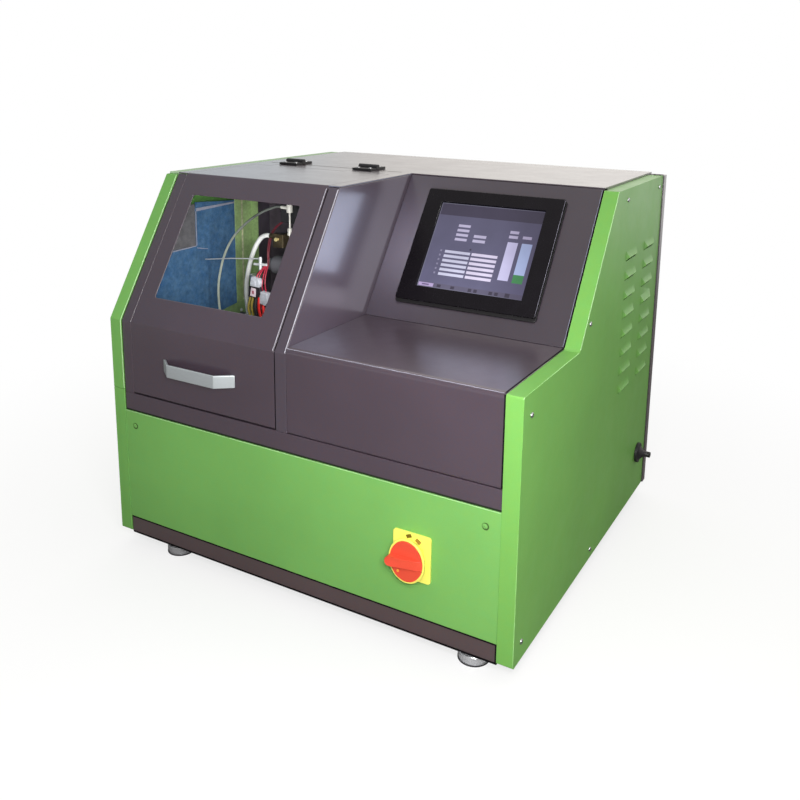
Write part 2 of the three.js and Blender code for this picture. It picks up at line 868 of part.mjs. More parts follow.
function cableGland() {
  const outside = seat;
  const inside = -sheet - seat;
  const flangeTop = outside + gland.flangeDepth;
  const domeTop = flangeTop + gland.domeDepth;
  const bootTop = outside + gland.bootDepth;
  const profile = [
    [gland.bore, inside - gland.nutDepth - gland.tail],
    [gland.thread, inside - gland.nutDepth - gland.tail],
    [gland.thread, inside - gland.nutDepth],
    [gland.nut, inside - gland.nutDepth],
    [gland.nut, inside],
    [gland.thread, inside],
    [gland.thread, outside],
    [gland.flange, outside],
    [gland.flange, flangeTop],
    [gland.dome, flangeTop],
    [gland.boot, domeTop],
    [gland.boot, bootTop],
    [gland.bore, bootTop],
    [gland.bore, inside - gland.nutDepth - gland.tail],
  ];
  return turned("x", profile, [half, ...glandPlace], smallSides);
}

piece("cable_gland", cableGland(), matteBlack);

// Test chamber: tray, rear wall, corner post and the liner on its left side
const trayRim = 18;
const chamberSpan = [seat - inner, lidRight + lidSideGap / 2 - seat];
const rimTop = chamber.floor + trayRim;

function chamberTray() {
  const spanY = [faceY + returnDepth + sheet, chamber.depth - seat];
  return cut(
    block(chamberSpan, spanY, [chamber.floor, rimTop]),
    block(inset(chamberSpan, sheet), inset(spanY, sheet), [chamber.floor + sheet, beyond]),
  );
}

piece("chamber_tray", chamberTray(), greenPaint);

function chamberBulkhead() {
  const span = [seat - inner + sheet + seat, lidRight + centreStripWidth];
  return block(span, [chamber.depth + seat, chamber.depth + seat + sheet], [chamber.floor, underRoof]);
}

piece("chamber_bulkhead", chamberBulkhead(), darkPaint);

const liner = {
  frontDepth: 20,
  frontRise: 11,
  notchRise: 97,
  notchInset: 212,
  slopeGap: 8,
  topInset: 65,
  rearInset: 105,
};
const linerRear = chamber.depth - liner.rearInset;
const post = { width: 51.7, bend: 15 };

function chamberLiner() {
  const foot = rimTop + seat;
  const notchHeight = lidFoldHeight + liner.notchRise;
  const notchFront = lidSlope.atHeight(notchHeight)[0] + liner.slopeGap;
  const notchDepth = chamber.depth - liner.notchInset;
  const topHeight = cabinetHeight - liner.topInset;
  const outline = [
    [liner.frontDepth, foot],
    [liner.frontDepth, lidFoldHeight + liner.frontRise],
    [notchFront, notchHeight],
    [notchDepth, notchHeight],
    [notchDepth, topHeight],
    [linerRear, topHeight],
    [linerRear, foot],
  ];
  return prism("x", outline, [seat - inner, seat - inner + chamber.wall]);
}

piece("chamber_liner", chamberLiner(), blueFilm);

function chamberPost() {
  const front = linerRear + seat;
  const rear = front + post.width;
  const left = seat - inner;
  const path = [
    [left, front],
    [left + sheet, front],
    [left + sheet, rear - sheet],
    [left + sheet + post.bend, rear - sheet],
    [left + sheet + post.bend, rear],
    [left, rear],
  ];
  return prism("z", path, [rimTop + seat, cabinetHeight - roofSkirt - seat]);
}

piece("chamber_post", chamberPost(), greenPaint);

// Rail stand: a post on the tray with a saddle for the common rail
const stand = {
  sideInset: 93,
  rearInset: 164,
  topGap: 17.7,
  width: 28,
  foot: 90,
  footThickness: 8,
  saddle: 24,
};
const rail = {
  frontReach: 32,
  leftReach: 56,
  rise: 203.4,
  radius: 16,
  length: 136,
  plug: 11,
  plugDepth: 12,
  nipple: 6,
  nippleHeight: 10,
  nippleInset: 32,
  nipplePitch: 48,
  nippleCount: 3,
};
const trayTop = chamber.floor + sheet + seat;
const standX = lidRight - stand.sideInset;
const standY = chamber.depth - stand.rearInset;
const standTop = underRoof - stand.topGap;
const standSpan = around(standX, stand.width / 2);
const standFront = standY - stand.width / 2 - seat;
const railLeft = standX - rail.leftReach;
const railRight = railLeft + rail.length;
const railY = standY - rail.frontReach;
const railZ = trayTop + rail.rise;
const railPlace = [railY, railZ];
const nippleXs = Array.from(
  { length: rail.nippleCount },
  (_, index) => railLeft + rail.nippleInset + index * rail.nipplePitch,
);

function railStand() {
  const halfFoot = stand.foot / 2;
  const spanY = around(standY, stand.width / 2);
  return cut(
    join(
      block(around(standX, halfFoot), around(standY, halfFoot), [trayTop, trayTop + stand.footThickness]),
      block(standSpan, spanY, [trayTop, standTop]),
      block(standSpan, [railY, spanY[1]], around(railZ, stand.saddle)),
    ),
    rod("x", railPlace, rail.radius + seat, [-beyond, beyond]),
  );
}

piece("rail_stand", railStand(), matteBlack);

function commonRail() {
  const nippleTop = railZ + rail.radius + rail.nippleHeight;
  return join(
    rod("x", railPlace, rail.radius, [railLeft, railRight]),
    rod("x", railPlace, rail.plug, [railLeft - rail.plugDepth, railRight + rail.plugDepth], smallSides),
    ...nippleXs.map((x) => rod("z", [x, railY], rail.nipple, [railZ, nippleTop], smallSides)),
  );
}

piece("common_rail", commonRail(), ironFinish);

// The riser stands on the rail's first outlet and ends in the return hose's elbow
const riser = {
  pipe: 3,
  nut: 7.5,
  nutRise: 54,
  nutHeight: 14,
  cap: 9,
  capRise: 93,
  capHeight: 20,
  spigot: 3.4,
  spigotReach: 18,
};
const riserPlace = [nippleXs[0], railY];
const railNippleTop = railZ + rail.radius + rail.nippleHeight + seat;
const riserNutLow = railZ + riser.nutRise;
const riserCapLow = railZ + riser.capRise;
const riserCapHigh = riserCapLow + riser.capHeight;
const elbowHeight = (riserCapLow + riserCapHigh) / 2;

function railRiser() {
  const elbow = [railY, elbowHeight];
  const spigotSpan = [riserPlace[0] - riser.spigotReach, riserPlace[0]];
  return join(
    rod("z", riserPlace, riser.nut, [railNippleTop, railNippleTop + riser.nutHeight], smallSides),
    rod("z", riserPlace, riser.pipe, [railNippleTop, riserCapHigh], smallSides),
    rod("z", riserPlace, riser.nut, [riserNutLow, riserNutLow + riser.nutHeight], smallSides),
    rod("z", riserPlace, riser.cap, [riserCapLow, riserCapHigh], smallSides),
    rod("x", elbow, riser.spigot, spigotSpan, smallSides),
  );
}

piece("rail_riser", railRiser(), chromeFinish);

// Clear return hose: from the riser's elbow in a wide arc down to the tray's drain
const returnHoseRadius = 3.5;
const returnHoseSteps = 44;
const straightEnd = 9;
const hoseY = railY;
const spigotEnd = riserPlace[0] - riser.spigotReach - seat;
const drain = { sideInset: 49.4, pitch: 64, height: 26, socket: 9, collar: 14, collarHeight: 7 };
const returnX = chamberSpan[0] + drain.sideInset;
const supplyX = returnX + drain.pitch;
const drainTop = trayTop + drain.height;

// Each hose's route between its ends, from the chamber's left wall and the tray's top
const hosePoints = (points) => points.map(([reach, rise]) => [chamberSpan[0] + reach, hoseY, trayTop + rise]);
const returnPoints = [
  [163.4, 302.4],
  [144.4, 294.4],
  [115.4, 277.4],
  [79.4, 246.4],
  [55.4, 210.4],
  [41.4, 170.4],
  [36.4, 134.4],
  [39.4, 94.4],
  [47.4, 57.4],
];
const returnRoute = [
  [spigotEnd, hoseY, elbowHeight],
  [spigotEnd - straightEnd, hoseY, elbowHeight],
  ...hosePoints(returnPoints),
  [returnX, hoseY, drainTop + straightEnd],
  [returnX, hoseY, drainTop + seat],
];

piece("return_hose", hose(returnRoute, returnHoseRadius, returnHoseSteps), clearHose);

// Thick white hose: from the brass block at the stand down to the second drain
const brassBlock = {
  leftReach: 46,
  rise: 44,
  width: 22,
  depth: 12,
  height: 24,
  plate: 4,
  spigot: 5,
  spigotRise: 6,
  spigotReach: 10,
};
const supplyHoseRadius = 7.5;
const supplyHoseSteps = 26;
const brassX = standX - brassBlock.leftReach;
const brassZ = railZ + brassBlock.rise;
const brassLeft = brassX - brassBlock.width / 2;
const brassSpigotHeight = brassZ + brassBlock.spigotRise;
const supplyEnd = brassLeft - brassBlock.spigotReach - seat;
const supplyPoints = [
  [138.4, 246.4],
  [125.4, 228.4],
  [114.4, 202.4],
  [106.4, 173.4],
  [103.4, 139.4],
  [107.4, 99.4],
  [112.4, 64.4],
];
const supplyRoute = [
  [supplyEnd, hoseY, brassSpigotHeight],
  [supplyEnd - straightEnd, hoseY, brassSpigotHeight],
  ...hosePoints(supplyPoints),
  [supplyX, hoseY, drainTop + straightEnd],
  [supplyX, hoseY, drainTop + seat],
];

piece("supply_hose", hose(supplyRoute, supplyHoseRadius, supplyHoseSteps), whiteHose);

function brassFitting() {
  const spanX = around(brassX, brassBlock.width / 2);
  const spanZ = around(brassZ, brassBlock.height / 2);
  const place = [railY, brassSpigotHeight];
  return cut(
    join(
      block(spanX, around(railY, brassBlock.depth / 2), spanZ),
      block([brassX, standSpan[1]], [standFront - brassBlock.plate, standFront], spanZ),
      block([brassX, spanX[1]], [railY, standFront], spanZ),
      rod("x", place, brassBlock.spigot, [brassLeft - brassBlock.spigotReach, brassX], smallSides),
    ),
    rod("z", riserPlace, riser.nut + pocket, [-beyond, beyond]),
  );
}

piece("brass_block", brassFitting(), brassFinish);

function drainSocket(x) {
  return turned(
    "z",
    [
      [0, trayTop],
      [drain.collar, trayTop],
      [drain.collar, trayTop + drain.collarHeight],
      [drain.socket, trayTop + drain.collarHeight],
      [drain.socket, drainTop],
      [0, drainTop],
    ],
    [x, hoseY, 0],
    smallSides,
  );
}

function drainFitting() {
  const bridge = block(
    [returnX, supplyX],
    around(hoseY, drain.socket),
    [trayTop, trayTop + drain.collarHeight],
  );
  return join(drainSocket(returnX), drainSocket(supplyX), bridge);
}

piece("drain_fitting", drainFitting(), aluminiumFinish);

// Spray cup under the injector's nozzle
const cup = { radius: 27, wall: 2, floor: 3, height: 46 };
const cupTop = trayTop + cup.height;

// Injector in its clamp, over the spray cup
const injector = {
  sideReach: 78,
  frontReach: 56,
  tipGap: 11.4,
  nozzle: 3.5,
  nozzleLength: 22,
  cap: 9.5,
  capLength: 40,
  body: 11.5,
  bodyLength: 46,
  head: 13,
  headLength: 22,
  inlet: 6,
  inletReach: 24,
  inletDrop: 12,
};
const injectorX = standX - injector.sideReach;
const injectorY = standY - injector.frontReach;
const injectorPlace = [injectorX, injectorY];
const tipLow = cupTop + injector.tipGap;
const capLow = tipLow + injector.nozzleLength;
const bodyLow = capLow + injector.capLength;
const headLow = bodyLow + injector.bodyLength;
const headTop = headLow + injector.headLength;
const inletHeight = headLow - injector.inletDrop;

function injectorBody() {
  const inletPlace = [injectorY, inletHeight];
  return join(
    turned(
      "z",
      [
        [0, tipLow],
        [injector.nozzle / 2, tipLow],
        [injector.nozzle, tipLow + injector.nozzle],
        [injector.nozzle, capLow],
        [injector.cap, capLow],
        [injector.cap, bodyLow],
        [injector.body, bodyLow],
        [injector.body, headLow],
        [injector.head, headLow],
        [injector.head, headTop],
        [0, headTop],
      ],
      [...injectorPlace, 0],
      smallSides,
    ),
    rod("x", inletPlace, injector.inlet, [injectorX, injectorX + injector.inletReach], smallSides),
  );
}

piece("injector", injectorBody(), steelFinish);

// Clamp: an arm from the stand with a ring round the injector's cap, closed by a screw
const clamp = { rise: 12, ring: 19, height: 22, arm: 20, lug: 7, screw: 4, knob: 11, knobDepth: 14 };
const clampSpan = [capLow + clamp.rise, capLow + clamp.rise + clamp.height];
const clampPlace = [injectorY, (clampSpan[0] + clampSpan[1]) / 2];
const clampLeft = injectorX - clamp.ring - clamp.lug;

function injectorClamp() {
  const armY = around(injectorY, clamp.arm / 2);
  return cut(
    join(
      rod("z", injectorPlace, clamp.ring, clampSpan),
      block([injectorX, standSpan[1]], armY, clampSpan),
      block(standSpan, [armY[0], standFront], clampSpan),
      block([clampLeft, injectorX], armY, clampSpan),
    ),
    rod("z", injectorPlace, injector.cap + seat, [-beyond, beyond], smallSides),
    rod("x", clampPlace, clamp.screw + seat, [-beyond, injectorX], smallSides),
  );
}

function clampKnob() {
  const left = clampLeft - seat;
  const screwEnd = injectorX - injector.cap - seat - seat;
  return join(
    rod("x", clampPlace, clamp.knob, [left - clamp.knobDepth, left], smallSides),
    rod("x", clampPlace, clamp.screw, [left - pocket, screwEnd], smallSides),
  );
}

piece("injector_clamp", injectorClamp(), aluminiumFinish);
piece("clamp_knob", clampKnob(), redPlastic);

// Connector on the injector's head, and the fitting that stands on it
const plug = { width: 34, depth: 22, lap: 4, height: 34 };
const plugLow = headLow + injector.headLength / 3;

function injectorPlug() {
  const spanX = around(injectorX, plug.width / 2);
  const spanY = [injectorY - plug.depth, injectorY - injector.head + plug.lap];
  return cut(
    block(spanX, spanY, [plugLow, plugLow + plug.height]),
    rod("z", injectorPlace, injector.head + seat, [-beyond, beyond], smallSides),
  );
}

piece("injector_plug", injectorPlug(), redPlastic);

const tee = { radius: 4.5, height: 26, arm: 3.2, armReach: 14, pipe: 1.2, pipeReach: 120 };

function returnTee() {
  const low = headTop + seat;
  const crossPlace = [injectorY, low + tee.height / 2];
  return join(
    rod("z", injectorPlace, tee.radius, [low, low + tee.height], smallSides),
    rod("x", crossPlace, tee.arm, around(injectorX, tee.armReach), smallSides),
    rod("x", crossPlace, tee.pipe, [injectorX - tee.pipeReach, injectorX], hoseSides),
  );
}

piece("return_tee", returnTee(), chromeFinish);

function sprayCup() {
  return turned(
    "z",
    [
      [0, trayTop],
      [cup.radius, trayTop],
      [cup.radius, cupTop],
      [cup.radius - cup.wall, cupTop],
      [cup.radius - cup.wall, trayTop + cup.floor],
      [0, trayTop + cup.floor],
    ],
    [...injectorPlace, 0],
  );
}

piece("spray_cup", sprayCup(), clearPane);

// High-pressure pipe from the rail's second outlet over to the injector's side inlet
const pressurePipe = { radius: 3, steps: 40, lead: 14.7, crest: 26.7, bow: 47, straight: 10 };
const inletEnd = injectorX + injector.inletReach + seat;
const pipeStart = nippleXs[1];
const pipeCrest = railNippleTop + pressurePipe.crest;

// Shares of the pipe's way across, of its forward bow and of its fall from the crest
const pipeRouteShares = [
  [0.026, 0.17, 1],
  [0.103, 0.638, 1],
  [0.193, 0.936, 0.796],
  [0.296, 1, 0.466],
  [0.476, 0.83, 0.155],
  [0.721, 0.574, 0.02],
];
const pressureRoute = [
  [pipeStart, railY, railNippleTop],
  [pipeStart, railY, railNippleTop + pressurePipe.lead],
  ...pipeRouteShares.map(([across, forward, height]) => [
    pipeStart + (inletEnd - pipeStart) * across,
    railY - pressurePipe.bow * forward,
    inletHeight + (pipeCrest - inletHeight) * height,
  ]),
  [inletEnd + pressurePipe.straight, injectorY, inletHeight],
  [inletEnd, injectorY, inletHeight],
];

piece("pressure_pipe", hose(pressureRoute, pressurePipe.radius, pressurePipe.steps), steelFinish);

// Lead from the plug up to the junction box at the stand's top
const leadRadius = 2.5;
const leadSteps = 36;
const junction = { width: 44, depth: 26, height: 40, rise: 92 };
const junctionSpan = around(railZ + junction.rise, junction.height / 2);
const plugTop = plugLow + plug.height + seat;

// The lead's route between its ends, from the injector's axis and the plug's top
const leadPoints = [
  [4, -17, 0],
  [4, -17, 10.7],
  [7, -15, 24.7],
  [12, -11, 39.7],
  [20, 0, 52.7],
  [26, 20, 58.7],
  [28, 38, 56.7],
  [30, 49, 60.7],
  [30, 52, 65.7],
];
const leadRoute = leadPoints.map(([reach, depth, rise]) => [
  injectorX + reach,
  injectorY + depth,
  plugTop + rise,
]);
leadRoute.push([...leadRoute[leadRoute.length - 1].slice(0, 2), junctionSpan[0] - seat]);

piece("injector_lead", hose(leadRoute, leadRadius, leadSteps), redPlastic);

function junctionBox() {
  const right = standSpan[0] - seat;
  return block([right - junction.width, right], around(standY, junction.depth / 2), junctionSpan);
}

piece("junction_box", junctionBox(), matteBlack);

// Drive: motor, jaw coupling and high-pressure pump on the base plate
const deck = base.thickness + seat;
const drive = { rearInset: 326, rise: 114.7 };
const motor = {
  sideInset: 109.7,
  radius: 72,
  length: 230,
  fin: 6,
  finCount: 20,
  bell: 66,
  bellDepth: 18,
  footWidth: 130,
  boreDepth: 40,
};
const shaft = {
  radius: 12,
  pumpRadius: 9,
  hub: 30,
  hubLength: 22,
  jaw: 12,
  jawReach: 28,
  jawWidth: 14,
  gap: 22,
};
const pump = { radius: 50, length: 96, boreDepth: 30, outlet: 9, outletHeight: 26, foot: 84, footDepth: 18 };
const driveY = cabinetDepth - drive.rearInset;
const driveZ = deck + drive.rise;
const drivePlace = [driveY, driveZ];
const motorRight = inner - motor.sideInset;
const motorLeft = motorRight - motor.length;
const couplingRight = motorLeft - shaft.gap;
const couplingMiddle = couplingRight - shaft.hubLength - shaft.jaw / 2 - seat;
const pumpRight = couplingMiddle - shaft.jaw / 2 - seat - shaft.hubLength - shaft.gap;

function driveMotor() {
  const fins = Array.from({ length: motor.finCount }, (_, index) => (2 * Math.PI * index) / motor.finCount);
  const ring = fins.flatMap((angle) => {
    const step = Math.PI / motor.finCount / 2;
    const low = motor.radius - motor.fin;
    return [
      [low, angle - step],
      [motor.radius, angle - step],
      [motor.radius, angle + step],
      [low, angle + step],
    ];
  });
  const outline = ring.map(([radius, angle]) => [
    driveY + radius * Math.cos(angle),
    driveZ + radius * Math.sin(angle),
  ]);
  const span = [motorLeft, motorRight];
  const footX = inset(span, motor.length / 4);
  return cut(
    join(
      prism("x", outline, inset(span, motor.bellDepth)),
      rod("x", drivePlace, motor.bell, span),
      block(footX, around(driveY, motor.footWidth / 2), [deck, driveZ - motor.bell + motor.fin]),
      block(footX, around(driveY, motor.bell / 2), [driveZ, driveZ + motor.radius + motor.bellDepth]),
    ),
    rod("x", drivePlace, shaft.radius + seat, [motorLeft - overrun, motorLeft + motor.boreDepth], smallSides),
  );
}

piece("drive_motor", driveMotor(), ironFinish);

// Two hubs whose jaws mesh, one pair of jaws upright and the other level
function couplingHub(hubSpan, jawSpan, upright) {
  const reach = shaft.jawReach;
  const across = shaft.jawWidth / 2;
  const spanY = around(driveY, upright ? across : reach);
  const spanZ = around(driveZ, upright ? reach : across);
  const bare = cut(block(jawSpan, spanY, spanZ), rod("x", drivePlace, shaft.jawWidth, [-beyond, beyond]));
  return join(rod("x", drivePlace, shaft.hub, hubSpan), bare);
}

function driveShaft() {
  const hub = [couplingRight - shaft.hubLength, couplingRight];
  return join(
    couplingHub(hub, [hub[0] - shaft.jaw, hub[0] + pocket], true),
    rod("x", drivePlace, shaft.radius, [hub[0], motorLeft + motor.boreDepth - pocket], smallSides),
  );
}

function pumpShaft() {
  const hubRight = couplingRight - shaft.hubLength - shaft.jaw - seat;
  const hub = [hubRight - shaft.hubLength, hubRight];
  return join(
    couplingHub(hub, [hub[1] - pocket, hub[1] + shaft.jaw], false),
    rod("x", drivePlace, shaft.pumpRadius, [pumpRight - pump.boreDepth + pocket, hub[1]], smallSides),
  );
}

piece("motor_shaft", driveShaft(), steelFinish);
piece("pump_shaft", pumpShaft(), steelFinish);

function pressurePump() {
  const left = pumpRight - pump.length;
  const outletPlace = [(left + pumpRight) / 2, driveY];
  const outletTop = driveZ + pump.radius + pump.outletHeight;
  const boreSpan = [pumpRight - pump.boreDepth, pumpRight + overrun];
  return cut(
    join(
      rod("x", drivePlace, pump.radius, [left, pumpRight]),
      rod("z", outletPlace, pump.outlet, [driveZ, outletTop], smallSides),
      block([pumpRight - pump.footDepth, pumpRight], around(driveY, pump.foot / 2), [deck, driveZ]),
    ),
    rod("x", drivePlace, shaft.pumpRadius + seat, boreSpan, smallSides),
  );
}

piece("pressure_pump", pressurePump(), aluminiumFinish);

// Inverter, filter and fluid tank at the rear, on the base plate
const inverter = { sideInset: 49.7, rearInset: 56, width: 130, depth: 150, height: 180 };
const filter = { sideGap: 150, rearInset: 116, radius: 38, height: 120, head: 30, headHeight: 26, port: 8 };
const inverterRight = inner - inverter.sideInset;
const inverterLeft = inverterRight - inverter.width;
const filterPlace = [inverterLeft - filter.sideGap, cabinetDepth - filter.rearInset];
const tank = {
  sideInset: 19.7,
  rearInset: 56,
  filterGap: 12,
  depth: 150,
  height: 190,
  wall: 2,
  mouthInset: 75,
  neck: 24,
  neckHeight: 16,
};
const tankLeft = tank.sideInset - inner;
const tankRight = filterPlace[0] - filter.radius - tank.filterGap;

function fluidTank() {
  const rear = cabinetDepth - tank.rearInset;
  const spanX = [tankLeft, tankRight];
  const spanY = [rear - tank.depth, rear];
  const spanZ = [deck, deck + tank.height];
  const mouth = [tankLeft + tank.mouthInset, rear - tank.depth / 2];
  const neckSpan = [spanZ[1] - pocket, spanZ[1] + tank.neckHeight];
  return cut(
    join(block(spanX, spanY, spanZ), rod("z", mouth, tank.neck, neckSpan)),
    block(inset(spanX, tank.wall), inset(spanY, tank.wall), inset(spanZ, tank.wall)),
    rod("z", mouth, tank.neck - tank.wall, [deck + tank.wall + pocket, beyond]),
  );
}

piece("fluid_tank", fluidTank(), steelFinish);

function fluidFilter() {
  const top = deck + filter.height + filter.headHeight;
  const portPlace = [filterPlace[1], top - filter.headHeight / 2];
  const portEnd = filterPlace[0] - filter.radius - filter.port;
  return join(
    rod("z", filterPlace, filter.radius, [deck, deck + filter.height], smallSides),
    rod("z", filterPlace, filter.head, [deck, top], smallSides),
    rod("x", portPlace, filter.port, [portEnd, filterPlace[0]], smallSides),
  );
}

piece("fluid_filter", fluidFilter(), matteBlack);

// Electrical box on the base plate
function driveInverter() {
  const rear = cabinetDepth - inverter.rearInset;
  return block([inverterLeft, inverterRight], [rear - inverter.depth, rear], [deck, deck + inverter.height]);
}

piece("drive_inverter", driveInverter(), matteBlack);

// Cooling fan: a square frame on the rear panel behind the air slots, with a rotor on its hub
const fan = {
  size: 120,
  depth: 38,
  opening: 54,
  hub: 20,
  armWidth: 10,
  armDepth: 4.75,
  rearGap: 9.5,
  bladeCount: 7,
  blade: 50,
  bladeThickness: 3,
  axle: 4,
};
const fanBack = cabinetDepth + rearPanelDepth - sheet - seat;
const fanFront = fanBack - fan.depth;
const fanArmBack = fanFront + fan.armDepth;
const fanHeight = slotLow + ((slot.rows - 1) * slot.pitch + slot.height) / 2;
const fanPlace = [slotMiddle, fanHeight];

function fanFrame() {
  const spanX = around(slotMiddle, fan.size / 2);
  const spanZ = around(fanHeight, fan.size / 2);
  const armHalf = fan.armWidth / 2;
  const frame = cut(
    block(spanX, [fanFront, fanBack], spanZ),
    rod("y", fanPlace, fan.opening, [-beyond, beyond]),
  );
  const armSpan = [fanFront, fanArmBack];
  return cut(
    join(
      frame,
      block(inset(spanX, armHalf), armSpan, around(fanHeight, armHalf)),
      block(around(slotMiddle, armHalf), armSpan, inset(spanZ, armHalf)),
      rod("y", fanPlace, fan.hub, armSpan),
    ),
    rod("y", fanPlace, fan.axle + seat, [-beyond, fanFront + fan.depth], smallSides),
  );
}

function fanRotor() {
  const hubSpan = [fanArmBack + seat, fanBack - fan.rearGap];
  const blades = Array.from({ length: fan.bladeCount }, (_, index) => {
    const spin = new THREE.Matrix4().makeTranslation(slotMiddle, (hubSpan[0] + hubSpan[1]) / 2, fanHeight);
    spin.multiply(new THREE.Matrix4().makeRotationY((2 * Math.PI * index) / fan.bladeCount));
    spin.multiply(new THREE.Matrix4().makeRotationX(Math.PI / 5));
    return block([fan.hub / 2, fan.blade], around(0, fan.bladeThickness / 2), around(0, fan.hub / 2), spin);
  });
  return join(
    rod("y", fanPlace, fan.hub, hubSpan),
    rod("y", fanPlace, fan.axle, [fanFront + seat, hubSpan[1]], smallSides),
    ...blades,
  );
}

piece("fan_frame", fanFrame(), matteBlack);
piece("fan_rotor", fanRotor(), matteBlack);

// The row's origin is the middle of the whole object's footprint
const bounds = new THREE.Box3().setFromObject(group);
const middle = bounds.getCenter(new THREE.Vector3());
group.position.set(-middle.x, -middle.y, -bounds.min.z);
group.updateMatrixWorld(true);

export default group;
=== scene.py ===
"""Looks of the common rail injector test bench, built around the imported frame."""

import json
import math

import bmesh
import bpy
from mathutils import Matrix, Vector


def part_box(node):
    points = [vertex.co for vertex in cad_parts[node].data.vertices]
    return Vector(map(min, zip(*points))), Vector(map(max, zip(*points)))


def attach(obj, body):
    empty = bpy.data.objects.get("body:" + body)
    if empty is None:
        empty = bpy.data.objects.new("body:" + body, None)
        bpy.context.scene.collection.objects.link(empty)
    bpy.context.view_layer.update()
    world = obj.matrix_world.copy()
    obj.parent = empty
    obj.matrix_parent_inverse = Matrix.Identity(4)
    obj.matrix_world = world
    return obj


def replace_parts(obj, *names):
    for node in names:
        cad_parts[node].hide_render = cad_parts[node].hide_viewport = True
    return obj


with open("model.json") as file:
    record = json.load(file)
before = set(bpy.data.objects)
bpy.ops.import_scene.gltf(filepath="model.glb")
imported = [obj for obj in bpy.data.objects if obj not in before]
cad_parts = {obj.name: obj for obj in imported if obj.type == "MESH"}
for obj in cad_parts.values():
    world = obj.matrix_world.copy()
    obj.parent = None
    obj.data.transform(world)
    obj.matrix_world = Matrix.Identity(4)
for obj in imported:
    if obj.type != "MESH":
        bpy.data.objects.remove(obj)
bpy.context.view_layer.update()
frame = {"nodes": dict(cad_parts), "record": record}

# The cabinet's own frame: x from the middle, y from the front, z from the side panels' lower edge, in mm
MM = 0.001
REAR_CORNER = Vector((375.0, 673.5, 620.0))
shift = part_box("rear_panel")[1] - REAR_CORNER * MM


def at(x, y, z):
    """A place in the cabinet's own frame, in mm, as a point of the row frame, in metres."""
    return Vector((x, y, z)) * MM + shift


# Camera

IMAGE_SIZE = 800
FOCAL_PIXELS = 869.5
SENSOR = 36.0
PRINCIPAL_POINT = (409.4, 254.5)
AZIMUTH = math.radians(29.42)
ELEVATION = math.radians(11.71)
ROLL = math.radians(0.785)
CAMERA_PLACE = (759.5, -985.0, 794.5)


def make_camera():
    data = bpy.data.cameras.new("camera")
    data.sensor_width = SENSOR
    data.lens = FOCAL_PIXELS / IMAGE_SIZE * SENSOR
    data.shift_x = (IMAGE_SIZE / 2 - PRINCIPAL_POINT[0]) / IMAGE_SIZE
    data.shift_y = (PRINCIPAL_POINT[1] - IMAGE_SIZE / 2) / IMAGE_SIZE
    camera = bpy.data.objects.new("camera", data)
    back = Vector((
        math.sin(AZIMUTH) * math.cos(ELEVATION),
        -math.cos(AZIMUTH) * math.cos(ELEVATION),
        math.sin(ELEVATION),
    ))
    level = Vector((math.cos(AZIMUTH), math.sin(AZIMUTH), 0.0))
    upright = back.cross(level)
    right = math.cos(ROLL) * level + math.sin(ROLL) * upright
    up = math.cos(ROLL) * upright - math.sin(ROLL) * level
    turn = Matrix((right, up, back)).transposed().to_4x4()
    camera.matrix_world = Matrix.Translation(at(*CAMERA_PLACE)) @ turn
    bpy.context.scene.collection.objects.link(camera)
    bpy.context.scene.camera = camera


make_camera()

# Materials

WHITE = (1.0, 1.0, 1.0, 1.0)


def colour(red, green, blue):
    """A colour on the 0 to 255 scale of a picture, as the shader's linear values."""
    def linear(value):
        share = value / 255
        return share / 12.92 if share <= 0.04045 else ((share + 0.055) / 1.055) ** 2.4
    return (linear(red), linear(green), linear(blue), 1.0)


def scaled(rgba, factor):
    return tuple(min(1.0, channel * factor) for channel in rgba[:3]) + (1.0,)


class Graph:
    """Short calls for the nodes of a material or a world."""

    def __init__(self, owner, emptied=True):
        owner.use_nodes = True
        self.tree = owner.node_tree
        if emptied:
            self.tree.nodes.clear()

    def put(self, socket, value):
        if isinstance(value, bpy.types.NodeSocket):
            self.tree.links.new(value, socket)
        else:
            socket.default_value = value

    def node(self, kind, values=None, **settings):
        """A node with its settings made and its sockets, by name or number, set or linked."""
        made = self.tree.nodes.new(kind)
        for key, value in settings.items():
            setattr(made, key, value)
        for socket, value in (values or {}).items():
            self.put(made.inputs[socket], value)
        return made

    def spread(self, value, low=0.0, high=1.0, start=0.3, end=0.7, course="LINEAR"):
        return self.node("ShaderNodeMapRange", {
            "Value": value, "From Min": start, "From Max": end, "To Min": low, "To Max": high,
        }, interpolation_type=course).outputs["Result"]

    def mix(self, factor, first, second, blend="MIX"):
        return self.node("ShaderNodeMix", {0: factor, 6: first, 7: second}, data_type="RGBA",
                         blend_type=blend).outputs[2]

    def calculate(self, operation, first, second):
        return self.node("ShaderNodeMath", {0: first, 1: second}, operation=operation).outputs["Value"]

    def blend(self, factor, first, second):
        return self.node("ShaderNodeMixShader", {"Fac": factor, 1: first, 2: second}).outputs["Shader"]

    def seen(self):
        """1 for what the camera sees straight or through the pane."""
        path = self.node("ShaderNodeLightPath")
        return self.calculate("MAXIMUM", path.outputs["Is Camera Ray"], path.outputs["Is Transmission Ray"])


